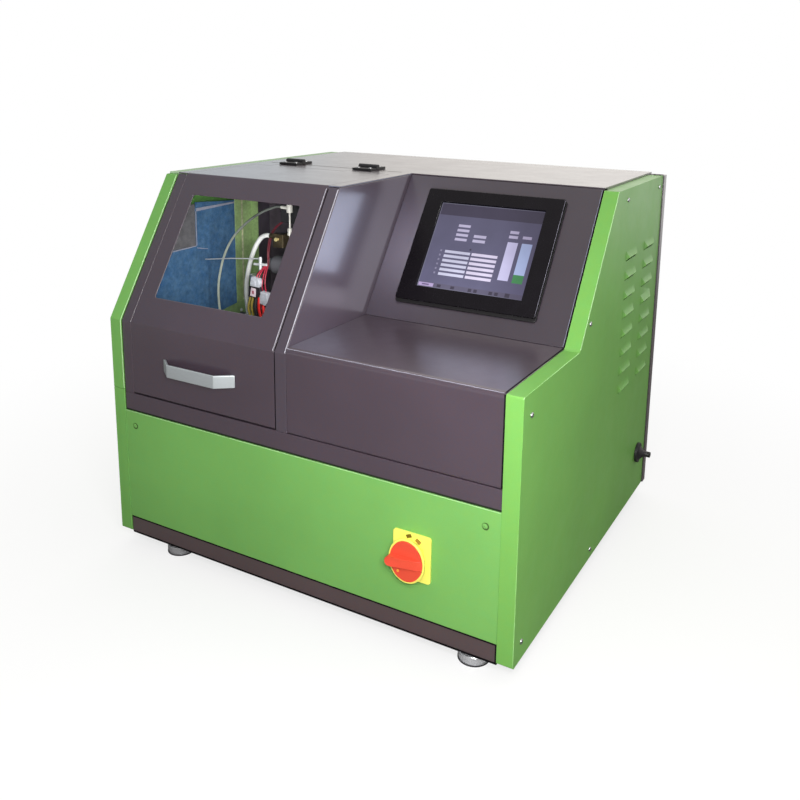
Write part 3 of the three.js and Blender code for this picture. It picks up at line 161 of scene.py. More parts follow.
class Finish(Graph):
    """A node material around the principled shader."""

    def __init__(self, name):
        self.material = bpy.data.materials.new(name)
        super().__init__(self.material, emptied=False)
        self.shader = self.tree.nodes["Principled BSDF"]
        self.place = self.node("ShaderNodeTexCoord").outputs["Object"]

    def noise(self, scale, detail=3.0, roughness=0.55, stretch=None):
        place = self.place
        if stretch:
            place = self.node("ShaderNodeMapping", {"Vector": place, "Scale": stretch}).outputs["Vector"]
        return self.node("ShaderNodeTexNoise", {
            "Vector": place, "Scale": scale, "Detail": detail, "Roughness": roughness}).outputs["Fac"]

    def split(self):
        return self.node("ShaderNodeSeparateXYZ", {"Vector": self.place}).outputs

    def multiply(self, first, second):
        return self.mix(1.0, first, second, "MULTIPLY")

    def bump(self, height, strength, distance):
        self.dress(Normal=self.node("ShaderNodeBump", {
            "Height": height, "Strength": strength, "Distance": distance}).outputs["Normal"])

    def dress(self, **values):
        """Sets or links the shader's sockets, whose names have underscores for spaces here."""
        for socket, value in values.items():
            self.put(self.shader.inputs[socket.replace("_", " ")], value)


def finish(name, base, rough, metal=0.0, mottle=0.06, mottle_scale=7.0, grain=0.05, grain_scale=700.0,
           bump=0.15, bump_scale=420.0, bump_depth=0.0002, uneven=0.05, stretch=None, tints=None,
           tint_scale=260.0, **sockets):
    """A base of 0 to 255 with mottle and grain, a varied roughness, a bump and the shader's own sockets."""
    made, base = Finish(name), colour(*base)
    clouds = made.spread(made.noise(mottle_scale, 4.0))
    body = made.mix(clouds, scaled(base, 1 - mottle), scaled(base, 1 + mottle))
    if tints:
        body = made.multiply(body, made.mix(made.spread(made.noise(tint_scale, 3.0, 0.7)), *tints))
    speck = made.spread(made.noise(grain_scale, 2.0, stretch=stretch))
    smear = made.noise(mottle_scale * 3, 5.0, 0.65, stretch)
    made.bump(made.noise(bump_scale, 2.0, stretch=stretch), bump, bump_depth)
    made.dress(Base_Color=made.multiply(body, made.mix(speck, (1 - grain,) * 3 + (1.0,), WHITE)),
               Roughness=made.spread(smear, max(0.02, rough - uneven), rough + uneven), Metallic=metal,
               **sockets)
    return made.material


GREEN = (122, 184, 96)
GREEN_PAINT = dict(mottle=0.06, mottle_scale=5.0, grain=0.04, bump=0.08, bump_scale=260.0, bump_depth=0.0003,
                   tints=((1.04, 0.99, 0.95, 1.0), (0.96, 1.0, 1.05, 1.0)), tint_scale=90.0)
DARK_PAINT = dict(mottle=0.07, mottle_scale=6.0, grain=0.12, grain_scale=1100.0, bump=0.12, bump_scale=520.0,
                  bump_depth=0.0002, tints=((1.12, 0.97, 0.93, 1.0), (0.9, 0.99, 1.1, 1.0)), Coat_Weight=1.0,
                  Coat_IOR=1.7)
BRUSHED = dict(stretch=(0.08, 1.0, 1.0), grain=0.08, grain_scale=1400.0, bump=0.1, bump_scale=900.0)

MATERIALS = {
    "green_paint": finish("green_paint", GREEN, 0.36, Specular_IOR_Level=0.3, Coat_Weight=0.08,
                          Coat_Roughness=0.2, **GREEN_PAINT),
    "dark_paint": finish("dark_paint", (74, 62, 73), 0.38, Coat_Roughness=0.24, **DARK_PAINT),
    "steel": finish("steel", (186, 187, 190), 0.3, 1.0, grain=0.1, stretch=(1.0, 1.0, 14.0)),
    "chrome": finish("chrome", (214, 215, 218), 0.14, 1.0, mottle=0.03, grain=0.02, bump=0.04),
    "aluminium": finish("aluminium", (214, 216, 217), 0.34, 1.0, mottle=0.03, **BRUSHED),
    "brass": finish("brass", (201, 164, 92), 0.3, 1.0, mottle=0.08),
    "iron": finish("iron", (86, 90, 94), 0.55, 0.4, mottle=0.15, bump=0.5, bump_scale=300.0),
    "black_gloss": finish("black_gloss", (17, 14, 20), 0.26, mottle=0.2, mottle_scale=20.0, grain=0.1,
                          bump=0.03, Specular_IOR_Level=0.3),
    "black_matte": finish("black_matte", (34, 33, 36), 0.5, mottle=0.12, grain=0.15, bump=0.3),
    "yellow": finish("yellow", (253, 246, 112), 0.34, mottle=0.03, grain=0.02, bump=0.05),
    "red": finish("red", (231, 80, 56), 0.4, mottle=0.05, grain=0.03, bump=0.05),
    "blue_film": finish("blue_film", (62, 102, 145), 0.5, mottle=0.16, mottle_scale=22.0, grain=0.3,
                        grain_scale=130.0, bump=0.3, bump_scale=60.0, bump_depth=0.001, uneven=0.12,
                        tints=((1.75, 1.4, 1.16, 1.0), (0.8, 0.92, 0.98, 1.0)), tint_scale=70.0,
                        Specular_IOR_Level=0.3),
    "screen": finish("screen", (40, 42, 54), 0.16, mottle=0.05, grain=0.02, bump=0.0),
    "clear_hose": finish("clear_hose", (196, 198, 190), 0.22, mottle=0.1, mottle_scale=30.0),
    "white_hose": finish("white_hose", (226, 226, 222), 0.4, mottle=0.05, mottle_scale=30.0),
}


def clear_material():
    """Acrylic: clear, with the gloss of its faces and a faint haze of fine scratches."""
    material = bpy.data.materials.new("clear")
    graph = Graph(material)
    place = graph.node("ShaderNodeTexCoord").outputs["Object"]
    scratches = graph.node("ShaderNodeTexNoise", {"Vector": place, "Scale": 160.0}).outputs["Fac"]
    bump = graph.node("ShaderNodeBump", {"Height": scratches, "Strength": 0.02, "Distance": 0.0002})
    through = graph.node("ShaderNodeBsdfTransparent", {"Color": (0.96, 0.97, 0.97, 1.0)}).outputs["BSDF"]
    gloss = graph.node("ShaderNodeBsdfGlossy", {"Roughness": 0.03, "Normal": bump.outputs["Normal"]})
    edge = graph.node("ShaderNodeFresnel", {"IOR": 1.16}).outputs["Fac"]
    graph.node("ShaderNodeOutputMaterial", {"Surface": graph.blend(edge, through, gloss.outputs["BSDF"])})
    return material


MATERIALS["clear"] = clear_material()

# Building helpers

SMOOTH_LIMIT = 50.0
BEVEL_ANGLE = 25.0
WELD = 2e-6
FLAT_ANGLE = 0.4


def new_object(name, mesh, body, slot, material=None):
    made = bpy.data.objects.new(name, mesh)
    bpy.context.scene.collection.objects.link(made)
    made.data.materials.clear()
    made.data.materials.append(material or MATERIALS[slot])
    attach(made, body)
    return made


def mesh_from(bm, name, smooth_limit=SMOOTH_LIMIT):
    """Closes a bmesh into a mesh that is smooth except over its sharp edges."""
    bm.normal_update()
    limit = math.radians(smooth_limit)
    for face in bm.faces:
        face.smooth = True
    for edge in bm.edges:
        edge.smooth = len(edge.link_faces) == 2 and edge.calc_face_angle(0.0) < limit
    mesh = bpy.data.meshes.new(name)
    bm.to_mesh(mesh)
    bm.free()
    return mesh


def weigh_edges(bm, least_angle=BEVEL_ANGLE):
    weight = bm.edges.layers.float.new("bevel_weight_edge")
    limit = math.radians(least_angle)
    for edge in bm.edges:
        if len(edge.link_faces) == 2 and edge.calc_face_angle_signed(0.0) > limit:
            edge[weight] = 1.0


def round_edges(made, width):
    """Rounds the edges that carry a bevel weight and keeps the flat faces flat."""
    bevel = made.modifiers.new("round", "BEVEL")
    bevel.limit_method = "WEIGHT"
    bevel.width = width * MM
    bevel.segments = 2
    bevel.use_clamp_overlap = True
    bevel.harden_normals = False
    normals = made.modifiers.new("flat", "WEIGHTED_NORMAL")
    normals.keep_sharp = True


def built(name, slot, add, material=None, width=0.0, smooth_limit=SMOOTH_LIMIT, least_angle=BEVEL_ANGLE,
          body="cabinet"):
    """A piece whose mesh the add function builds, with its edges rounded by the width in mm."""
    bm = bmesh.new()
    add(bm)
    bmesh.ops.recalc_face_normals(bm, faces=bm.faces)
    bm.normal_update()
    if width:
        weigh_edges(bm, least_angle)
    made = new_object(name, mesh_from(bm, name, smooth_limit), body, slot, material)
    if width:
        round_edges(made, width)
    return made


def around(steps):
    """The cosine and sine of equal steps once round."""
    angles = [2 * math.pi * step / steps for step in range(steps)]
    return [(math.cos(angle), math.sin(angle)) for angle in angles]


def add_band(bm, low, high):
    """Closes the band between two rings of vertices."""
    for step in range(len(low)):
        following = (step + 1) % len(low)
        bm.faces.new((low[step], low[following], high[following], high[step]))


def prism(bm, face, outline, low, high):
    """Adds a closed prism of the outline, which is in the face's across and up, between two heights."""
    rings = [[bm.verts.new(face(a, b, out)) for a, b in outline] for out in (low, high)]
    bm.faces.new(rings[1])
    bm.faces.new(list(reversed(rings[0])))
    add_band(bm, *rings)


def add_ring(bm, face, outer, inner, low, high):
    """Adds a closed ring between two outlines of the same number of points, between two heights."""
    rings = [[bm.verts.new(face(a, b, out)) for a, b in outline]
             for outline, out in ((outer, low), (outer, high), (inner, high), (inner, low))]
    for near, far in zip(rings, rings[1:] + rings[:1]):
        add_band(bm, near, far)


def plates(name, slot, face, outlines, span, material=None, width=0.0, body="cabinet"):
    """A piece of flat plates on a face, which reach from the span's first height off it to its second."""
    def add(bm):
        for outline in outlines:
            prism(bm, face, outline, *span)
    return built(name, slot, add, material, width, body=body)


def rectangle(left, right, low, high):
    return [(left, low), (right, low), (right, high), (left, high)]


def rounded(left, right, low, high, radius, steps=4):
    corners = [(right - radius, low + radius, -90), (right - radius, high - radius, 0),
               (left + radius, high - radius, 90), (left + radius, low + radius, 180)]
    return [
        (x + radius * math.cos(math.radians(start + 90 * step / steps)),
         y + radius * math.sin(math.radians(start + 90 * step / steps)))
        for x, y, start in corners for step in range(steps + 1)
    ]


def oval(middle, reach_across, reach_up, steps=56):
    return [(middle[0] + reach_across * a, middle[1] + reach_up * b) for a, b in around(steps)]


def smoothed(points, steps):
    """Points along one smooth curve through the given ones."""
    ends = [points[0] * 2 - points[1]] + points + [points[-1] * 2 - points[-2]]
    route = []
    for before, first, second, after in zip(ends, ends[1:], ends[2:], ends[3:]):
        for step in range(steps):
            t = step / steps
            route.append(0.5 * ((2 * first) + (second - before) * t
                                + (2 * before - 5 * first + 4 * second - after) * t * t
                                + (3 * first - before - 3 * second + after) * t * t * t))
    return route + [points[-1]]


def tube(bm, places, radius, sides=12, steps=0):
    """Adds a closed round tube along places in the cabinet's frame, in mm."""
    points = [at(*place) for place in places]
    if steps:
        points = smoothed(points, steps)
    ways = [(after - before).normalized() for before, after in zip(points, points[1:])]
    side = ways[0].orthogonal().normalized()
    rings = []
    for index, point in enumerate(points):
        before, after = ways[max(0, index - 1)], ways[min(len(ways) - 1, index)]
        way = (before + after).normalized()
        side = (side - way * side.dot(way)).normalized()
        other = way.cross(side)
        rings.append([bm.verts.new(point + (side * a + other * b) * radius * MM) for a, b in around(sides)])
    for low, high in zip(rings, rings[1:]):
        add_band(bm, low, high)
    bm.faces.new(list(reversed(rings[0])))
    bm.faces.new(rings[-1])


def tubes(name, slot, routes, radius, material=None, sides=12, steps=0, body="cabinet"):
    def add(bm):
        for route in routes:
            tube(bm, route, radius, sides, steps)
    return built(name, slot, add, material, body=body)


class Slope:
    """A face's own frame: across is along x, up runs up the slope and out stands off it, all in mm."""

    def __init__(self, foot, way):
        length = math.hypot(*way)
        self.foot = Vector((0.0, *foot))
        self.across = Vector((1.0, 0.0, 0.0))
        self.up = Vector((0.0, way[0] / length, way[1] / length))
        self.out = self.across.cross(self.up)

    def place(self, across, up, out):
        """The point in the cabinet's frame, in mm."""
        return self.foot + self.across * across + self.up * up + self.out * out

    def __call__(self, across, up, out):
        return at(*self.place(across, up, out))


def upright(depth):
    """A face that looks forward, at a depth behind the front."""
    return Slope((depth, 0.0), (0.0, 1.0))


def level(height):
    """A face that looks up, whose second measure is the depth."""
    return Slope((0.0, height), (1.0, 0.0))


COVER_DEPTH = 2.0
LEDGE_HEIGHT = 393.7
ROOF_HEIGHT = 620.0
FRONT, COVERS, LEDGE = upright(0.0), upright(COVER_DEPTH), level(LEDGE_HEIGHT)
DISPLAY = Slope((222.534, LEDGE_HEIGHT), (155.6, 223.3))
LID = Slope((COVER_DEPTH, 384.427), (0.52954, 0.84829))

# How deep a mark or line reaches into the face that carries it, and how far lines and gaps stand off it
SUNK = 0.1
LINE = (-SUNK, 0.12)
GAP = (-SUNK, 0.2)

# The nodes, dressed

BODY_OF = {node: body for body, nodes in frame["record"]["behaviour"]["bodies"].items() for node in nodes}
SLOT_OF = {entry["node"]: entry["material_slot"] for entry in frame["record"]["subparts"]}
FEET = [node for node in SLOT_OF if node.startswith("foot_")]

HALF = 375.0
NEAR = 0.5
LOUVRE_COLUMNS = (466.0, 580.0)
LOUVRE_TAPER = 9.0
LOUVRE_MOUTH = 5.0
REAR_LAP = 2.4
REAR_TOP = 616.3
REAR_FACE = 673.5
FLUSH = 0.5
SWITCH = (216.0, 124.0)
PLATE_FACE = 3.8
KNOB_FACE = 20.1
COLLAR_REACH = (28.5, 33.0)
COLLAR_SLACK = 0.04
COLLAR_FOOT = 0.78
GRIP_REACH = 22.0
GRIP_HEIGHT = 0.86
GRIP_FALL = 0.62
GRIP_END = 15.0
GRIP_END_DRAWN_IN = 0.35


def press_louvres(x, y, z):
    """Draws the louvres' ends in and lifts their lips, as a press tool leaves them."""
    if x < HALF + NEAR:
        return x, y, z
    column = min(LOUVRE_COLUMNS, key=lambda middle: abs(y - middle))
    return x, y - math.copysign(LOUVRE_TAPER, y - column), z + LOUVRE_MOUTH


def lap_rear(x, y, z):
    """The rear panel stands proud of the right side panel, and its top and face are drawn in a little."""
    return x + REAR_LAP if x > HALF - NEAR else x, min(y, REAR_FACE - FLUSH), min(z, REAR_TOP)


def sink_left(x, y, z):
    """The left panels' faces lie deep enough for flat screws that stay inside the solid's box."""
    return max(x, FLUSH - HALF), y, z


def taper_collar(x, y, z):
    """The switch's collar narrows towards its plate."""
    across, up = (x - SWITCH[0]) / COLLAR_REACH[0], (z - SWITCH[1]) / COLLAR_REACH[1]
    if abs(y + PLATE_FACE) > 1.0 or abs(math.hypot(across, up) - 1.0) > COLLAR_SLACK:
        return x, y, z
    return SWITCH[0] + (x - SWITCH[0]) * COLLAR_FOOT, y, SWITCH[1] + (z - SWITCH[1]) * COLLAR_FOOT


def lower_grip(x, y, z):
    """The grip is highest at its pointer and sinks towards the knob's other side."""
    if y > -KNOB_FACE - 1.0:
        return x, y, z
    across = x - SWITCH[0]
    share = min(1.0, max(0.0, (across + GRIP_REACH) / (2 * GRIP_REACH)))
    drawn_in = min(across, GRIP_END + (across - GRIP_END) * GRIP_END_DRAWN_IN)
    return SWITCH[0] + drawn_in, -KNOB_FACE + (y + KNOB_FACE) * (GRIP_HEIGHT - GRIP_FALL * share), z


RESHAPES = {
    "right_side_panel": press_louvres,
    "rear_panel": lap_rear,
    "left_side_panel_upper": sink_left,
    "left_side_panel_lower": sink_left,
    "switch_plate": taper_collar,
    "switch_knob": lower_grip,
}
ROUNDING = 0.5
OWN_ROUNDING = {
    "lid_shell": 1.2,
    "front_left_strip": 0.8,
    "lid_handle": 1.2,
    "display_bezel": 1.4,
    "switch_plate": 1.0,
    "switch_knob": 3.4,
    "common_rail": 1.0,
    "drive_motor": 0.8,
    "step_cover": 1.2,
    "console_cover": 0.9,
}

BUILT_ANEW = ("return_hose", "supply_hose", "return_tee", "injector_plug", "injector_lead", "rail_riser")
OWN_SLOT = {"chamber_bulkhead": "black_matte", "clamp_knob": "black_matte"}
FOOT_STEEL = finish("foot_steel", (226, 228, 232), 0.2, 0.75, mottle=0.08, mottle_scale=30.0)
GREEN_DULL = finish("green_dull", GREEN, 0.55, Specular_IOR_Level=0.16, **GREEN_PAINT)
OWN_FINISH = {
    # Painted light and shade: a lighter copy of the dark paint on the step wall and a darker one on the
    # display's slope
    "step_cover": finish("wall_paint_lighter", (76, 67, 78), 0.38, Coat_Roughness=0.17, **DARK_PAINT),
    "display_panel": finish("slope_paint_darker", (59, 51, 61), 0.38, Coat_Roughness=0.24, **DARK_PAINT),
    "plinth_cover": finish("dark_paint_plinth", (84, 68, 70), 0.38, Coat_Roughness=0.24, **DARK_PAINT),
    "chamber_bulkhead": finish("bulkhead_black", (124, 112, 122), 0.5, mottle=0.3, mottle_scale=24.0,
                               grain=0.15),
    "chamber_post": finish("post_green", (172, 200, 136), 0.5, mottle=0.22, mottle_scale=30.0, grain=0.2,
                           grain_scale=240.0, Specular_IOR_Level=0.3),
    "right_side_panel": finish("green_side", (120, 182, 88), 0.36, Specular_IOR_Level=0.3, Coat_Weight=0.06,
                               Coat_Roughness=0.2, **GREEN_PAINT),
    "left_side_panel_upper": GREEN_DULL,
    "left_side_panel_lower": GREEN_DULL,
    "common_rail": finish("rail_iron", (92, 92, 98), 0.5, 0.3, mottle=0.2, bump=0.4),
    # The brass block has a darker brass than the other fittings
    "brass_block": finish("brass_darkened", (74, 64, 46), 0.4, 0.6, mottle=0.5, mottle_scale=90.0),
    "lid_handle": finish("handle_satin", (206, 214, 218), 0.42, 0.6, mottle=0.04, **BRUSHED),
    "rail_stand": finish("stand_black", (24, 22, 25), 0.5, mottle=0.2, bump=0.3),
    **{node: FOOT_STEEL for node in FEET},
}


def dressed(node):
    """A piece of the node's shape with rounded edges and smooth bends, which stands for the node."""
    name, reshape = node + "_dressed", RESHAPES.get(node)
    bm = bmesh.new()
    bm.from_mesh(frame["nodes"][node].data)
    bmesh.ops.remove_doubles(bm, verts=bm.verts, dist=WELD)
    if reshape:
        for vertex in bm.verts:
            vertex.co = at(*reshape(*((vertex.co - shift) / MM)))
    bmesh.ops.dissolve_limit(bm, angle_limit=math.radians(FLAT_ANGLE), verts=bm.verts, edges=bm.edges)
    bm.normal_update()
    weigh_edges(bm)
    made = new_object(name, mesh_from(bm, name), BODY_OF[node], OWN_SLOT.get(node, SLOT_OF[node]),
                      OWN_FINISH.get(node))
    round_edges(made, OWN_ROUNDING.get(node, ROUNDING))
    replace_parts(made, node)


for node in frame["nodes"]:
    if node not in BUILT_ANEW:
        dressed(node)

# The display's picture

SCREEN_FACE = 3.3
LIT_DEPTH = 0.25
SCREEN_LEFT, SCREEN_RIGHT, SCREEN_LOW, SCREEN_HIGH = 74.6, 263.4, 63.6, 221.4
FADE_FROM = 0.6
HEAD_BAND = SCREEN_HIGH - 22.5
FOOT_BAND = SCREEN_LOW + 9.0
GROUND_DEPTH = 0.05
COLUMN_WIDTH = 46.5
ROWS = 6
ROW_PITCH = 8.25
FIRST_ROW = 134.0


def lit(name, base, uneven=0.12):
    """A lit area of the liquid crystal screen, cloudy, with painted shade: dimmer to the right, as seen at an
    angle, and towards its top.
    """
    made, base = Finish(name), colour(*base)
    cloud = made.spread(made.noise(14.0, 3.0))
    left, right = at(SCREEN_LEFT, 0, 0).x, at(SCREEN_RIGHT, 0, 0).x
    fade = made.spread(made.split()["X"], 0.0, 1.0, left * (1 - FADE_FROM) + right * FADE_FROM, right)
    rise = made.spread(made.split()["Z"], 0.0, 1.0, DISPLAY(0, SCREEN_LOW, 0).z, DISPLAY(0, SCREEN_HIGH, 0).z)
    shade = made.mix(cloud, scaled(base, 1 - uneven), scaled(base, 1 + uneven))
    # Painted shade: the screen's right part and its top are darker, and its lower part is brighter and bluer
    shade = made.multiply(shade, made.mix(fade, WHITE, (0.6, 0.56, 0.62, 1.0)))
    shade = made.multiply(shade, made.mix(rise, (1.16, 1.16, 1.22, 1.0), (0.72, 0.7, 0.74, 1.0)))
    made.dress(Emission_Color=shade, Emission_Strength=1.0, Base_Color=(0.02, 0.02, 0.025, 1.0),
               Roughness=0.18)
    return made.material


def lit_patches(name, base, patches, depth=LIT_DEPTH):
    plates(name, "screen", DISPLAY, patches, (SCREEN_FACE - SUNK, SCREEN_FACE + depth), lit(name, base))


def bars(lefts, tops, width, height):
    return [rectangle(left, left + width, top - height, top) for left in lefts for top in tops]


for name, base, low, high in (
        ("screen_picture", (92, 90, 116), FOOT_BAND, HEAD_BAND),
        ("screen_head_band", (60, 54, 76), HEAD_BAND, SCREEN_HIGH),
        ("screen_foot_band", (88, 84, 104), SCREEN_LOW, FOOT_BAND)):
    lit_patches(name, base, [rectangle(SCREEN_LEFT, SCREEN_RIGHT, low, high)], GROUND_DEPTH)
lit_patches("screen_fields", (196, 190, 216), (
    bars((117.5,), (183.5, 175.0, 166.5, 158.0), 22.0, 4.6)
    + bars((150.5,), (167.0, 158.5), 22.5, 5.0)
    + bars((212.5,), (181.5, 173.0), 15.5, 5.0)
    + bars((236.5,), (174.0,), 15.5, 5.0)))
ROW_TOPS = [FIRST_ROW - ROW_PITCH * row for row in range(ROWS)]
lit_patches("screen_table_left", (206, 206, 226), bars((106.5,), ROW_TOPS, COLUMN_WIDTH, 4.7))
lit_patches("screen_table_right", (220, 212, 232), bars((156.0,), ROW_TOPS, COLUMN_WIDTH, 4.9))
lit_patches("screen_tall_bar", (210, 208, 238), [rectangle(213.0, 231.0, 93.0, 161.0)])
lit_patches("screen_level_bar", (186, 206, 240), [rectangle(238.0, 256.0, 105.5, 161.0)])
lit_patches("screen_level", (62, 146, 78), [rectangle(238.0, 256.0, 91.0, 105.5)])
lit_patches("screen_button", (176, 158, 196), [rectangle(76.5, 104.0, 65.5, 71.5)])
lit_patches("screen_marks", (52, 46, 62), (
    bars((111.0, 136.0), (71.0,), 7.0, 5.0) + bars((168.0, 178.0, 205.0, 215.0), (71.0,), 6.0, 5.5)
    + bars((233.0,), (72.0,), 8.0, 7.0) + bars((150.0,), (141.0,), 3.0, 3.0)))
lit_patches("screen_row_marks", (140, 136, 160), bars((97.5,), ROW_TOPS, 3.0, 3.2))
lit_patches("screen_button_mark", (104, 90, 124), [rectangle(83.0, 96.0, 67.2, 69.6)], 0.4)
# A painted highlight: thin pale lines along the bezel's inner lip at the screen's left, lower and upper edges
lit_patches("screen_lip_highlight", (116, 116, 132), [
    rectangle(SCREEN_LEFT, SCREEN_LEFT + 1.3, SCREEN_LOW, SCREEN_HIGH),
    rectangle(SCREEN_LEFT + 1.3, SCREEN_RIGHT, SCREEN_LOW, SCREEN_LOW + 1.1),
    rectangle(SCREEN_LEFT + 1.3, SCREEN_RIGHT, SCREEN_HIGH - 1.0, SCREEN_HIGH)], 0.3)

# The bezel's dark rim below it and at its right is partly its rubber seal and partly painted shadow under the
# bezel, and a pale line along its right edge is a painted highlight
built("display_seal_and_shadow", "black_matte", lambda bm: add_ring(
    bm, DISPLAY, rounded(42.4, 294.6, 31.4, 245.0, 5.0), rounded(46.0, 290.0, 40.0, 240.0, 5.0), -0.05, 3.6),
    finish("seal_and_shadow_black", (14, 12, 16), 0.6, mottle=0.2, grain=0.1), 0.8)
tubes("bezel_shine", "black_gloss", [[DISPLAY.place(292.3, up, 6.7) for up in (40.0, 120.0, 243.0)]], 0.5,
      finish("bezel_highlight_grey", (118, 116, 130), 0.4, mottle=0.12, mottle_scale=40.0, grain=0.1), 8)

# The main switch's marks

KNOB_BODY = BODY_OF["switch_knob"]
MARK_SPAN = (PLATE_FACE - SUNK, PLATE_FACE + 0.25)


def by_switch(across, up):
    return SWITCH[0] + across, SWITCH[1] + up


def slanted(middle, reach_across, reach_up, turn):
    """A small rectangle, turned by an angle in degrees."""
    across, up = math.cos(math.radians(turn)), math.sin(math.radians(turn))
    return [
        (middle[0] + a * reach_across * across - b * reach_up * up,
         middle[1] + a * reach_across * up + b * reach_up * across)
        for a, b in ((-1, -1), (1, -1), (1, 1), (-1, 1))
    ]


plates("switch_mark_off", "black_matte", FRONT, [slanted(by_switch(-4.4, 30.6), 4.3, 2.6, 24.0)],
       MARK_SPAN, finish("mark_olive", (112, 88, 18), 0.5, mottle=0.1, mottle_scale=90.0))
plates("switch_mark_on", "black_matte", FRONT, [slanted(by_switch(10.8, 26.4), 4.4, 3.0, -34.0)],
       MARK_SPAN, finish("mark_brown", (160, 122, 48), 0.5, mottle=0.1, mottle_scale=90.0))
built("switch_rim", "yellow", lambda bm: add_ring(
    bm, FRONT, oval(SWITCH, 29.0, 33.6), oval(SWITCH, 25.9, 30.4), 16.5, 18.9), width=0.7, body=KNOB_BODY)
plates("switch_dot", "yellow", FRONT, [oval(by_switch(-12.5, -17.1), 2.0, 2.0, 20)],
       (KNOB_FACE - SUNK, KNOB_FACE + 0.35), finish("dot_yellow", (252, 176, 66), 0.4), body=KNOB_BODY)
# A painted highlight: a pale pink spot on the knob, which turns with it
plates("switch_glint", "red", FRONT, [oval(by_switch(21.6, 4.0), 1.5, 2.1, 20)],
       (KNOB_FACE - SUNK, KNOB_FACE + 0.4), finish("glint_pink", (250, 168, 150), 0.3), body=KNOB_BODY)

# Screws

HEAD_PROFILE = ((1.0, 0.0), (1.0, 0.35), (0.9, 0.7), (0.68, 0.93), (0.42, 1.0))
HEAD_FACETS = 20
RECESS_REACH, RECESS_HALF_WIDTH, RECESS_DEPTH = 0.36, 0.11, 0.6


def add_screw(bm, centre, outward, radius, height):
    """A pan-head screw: a domed head with a cross recess, standing on the face at the centre."""
    turn = outward.to_track_quat("Z", "Y").to_matrix()

    def ring(outline, rise):
        return [bm.verts.new(centre + turn @ (Vector((a, b, rise)) * MM)) for a, b in outline]

    rings = [ring([(radius * reach * a, radius * reach * b) for a, b in around(HEAD_FACETS)], height * rise)
             for reach, rise in HEAD_PROFILE]
    for low, high in zip(rings, rings[1:]):
        add_band(bm, low, high)
    bm.faces.new(list(reversed(rings[0])))
    arm, half = radius * RECESS_REACH, radius * RECESS_HALF_WIDTH
    quarter, cross = [(half, half), (half, arm), (-half, arm)], []
    for _ in range(4):
        cross += quarter
        quarter = [(-b, a) for a, b in quarter]
    rim, pit = ring(cross, height), ring(cross, height - height * RECESS_DEPTH)
    add_band(bm, pit, rim)
    bm.faces.new(pit)
    edges = [bm.edges.get((first, second)) for loop in (rings[-1], rim)
             for first, second in zip(loop, loop[1:] + loop[:1])]
    bmesh.ops.triangle_fill(bm, use_beauty=True, use_dissolve=False, edges=edges)


def screws(name, slot, places, outward, radius=3.9, height=2.0, material=None, body="cabinet"):
    def add(bm):
        for place in places:
            add_screw(bm, at(*place), Vector(outward), radius, height)
    return built(name, slot, add, material, body=body)


# Radius and height of the heads that differ from the side panel's own
FLAT_HEAD = (4.2, FLUSH)
LOW_HEAD = (3.4, 0.9)
LEAF_HEAD = (3.2, 1.3)
RAIL_HEAD = (3.4, 1.6)
RIGHT_SCREWS = [(29, 360), (260, 426.5), (427, 597), (633, 597), (26, 28.5), (327, 17)]
LEFT_SCREWS = [(29, 360), (157, 597), (400, 597), (633, 597), (26, 28.5), (327, 17), (633, 28.5),
               (29, 246), (633, 246), (29, 282), (633, 282)]
FRONT_FACE = 0.5
FRONT_SCREWS, FRONT_SCREW_HEIGHT = (-328.0, 327.0), 200.5
REAR_COLUMNS, REAR_ROWS, REAR_MIDDLE = (-350, 0, 350), (24, 310, 596), (0, 310)
LEAF_TOP = 624.3
LEAF_SCREWS = (-12.5, 12.5)
HINGES = (-270.5, -102.0)
screws("side_screws_right", "steel", [(HALF, y, z) for y, z in RIGHT_SCREWS], (1, 0, 0))
screws("side_screws_left", "steel", [(FLUSH - HALF, y, z) for y, z in LEFT_SCREWS], (-1, 0, 0), *FLAT_HEAD)
screws("front_screws", "green_paint", [(x, FRONT_FACE, FRONT_SCREW_HEIGHT) for x in FRONT_SCREWS], (0, -1, 0),
       *LOW_HEAD)
# Painted shade: a dark crescent round each front screw, thickest at its right
built("front_screw_shade_rings", "green_paint", lambda bm: [
    add_ring(bm, upright(FRONT_FACE), oval((x, FRONT_SCREW_HEIGHT), 5.4, 5.4, 40),
             oval((x - 1.0, FRONT_SCREW_HEIGHT + 0.4), 3.9, 3.9, 40), -SUNK, 0.3)
    for x in FRONT_SCREWS], finish("screw_shade_green", (58, 92, 30), 0.5, mottle=0.2, mottle_scale=60.0))
screws("rear_screws", "steel",
       [(x, REAR_FACE - FLUSH, z) for x in REAR_COLUMNS for z in REAR_ROWS if (x, z) != REAR_MIDDLE],
       (0, 1, 0), *FLAT_HEAD)
for name, body, depth in (("hinge_screws_fixed", "cabinet", 401.0), ("hinge_screws_lid", "lid", 369.0)):
    places = [(x + dx, depth, LEAF_TOP) for x in HINGES for dx in LEAF_SCREWS]
    screws(name, "steel", places, (0, 0, 1), *LEAF_HEAD, body=body)

# The roof's rear edge

COVER_HALF = 349.2
SEAM_STRETCHES = ((-328.0, -292.0), (-249.0, -123.5), (-80.5, -30.0))
plates("lid_rear_seam", "dark_paint", level(ROOF_HEIGHT), [
    rectangle(left, right, 380.9, 383.6) for left, right in SEAM_STRETCHES],
    LINE, finish("seam_dark", (58, 44, 38), 0.6, mottle=0.3, mottle_scale=60.0))
plates("rear_top_edge", "dark_paint", upright(REAR_FACE - FLUSH), [
    rectangle(-COVER_HALF, COVER_HALF, REAR_TOP, 619.8)], (0.0, 16.6), width=0.5)
plates("rear_panel_lip", "dark_paint", upright(656.4), [rectangle(-372.8, 372.8, 560.0, 617.9)], (-1.6, 0.0))

# What the window shows

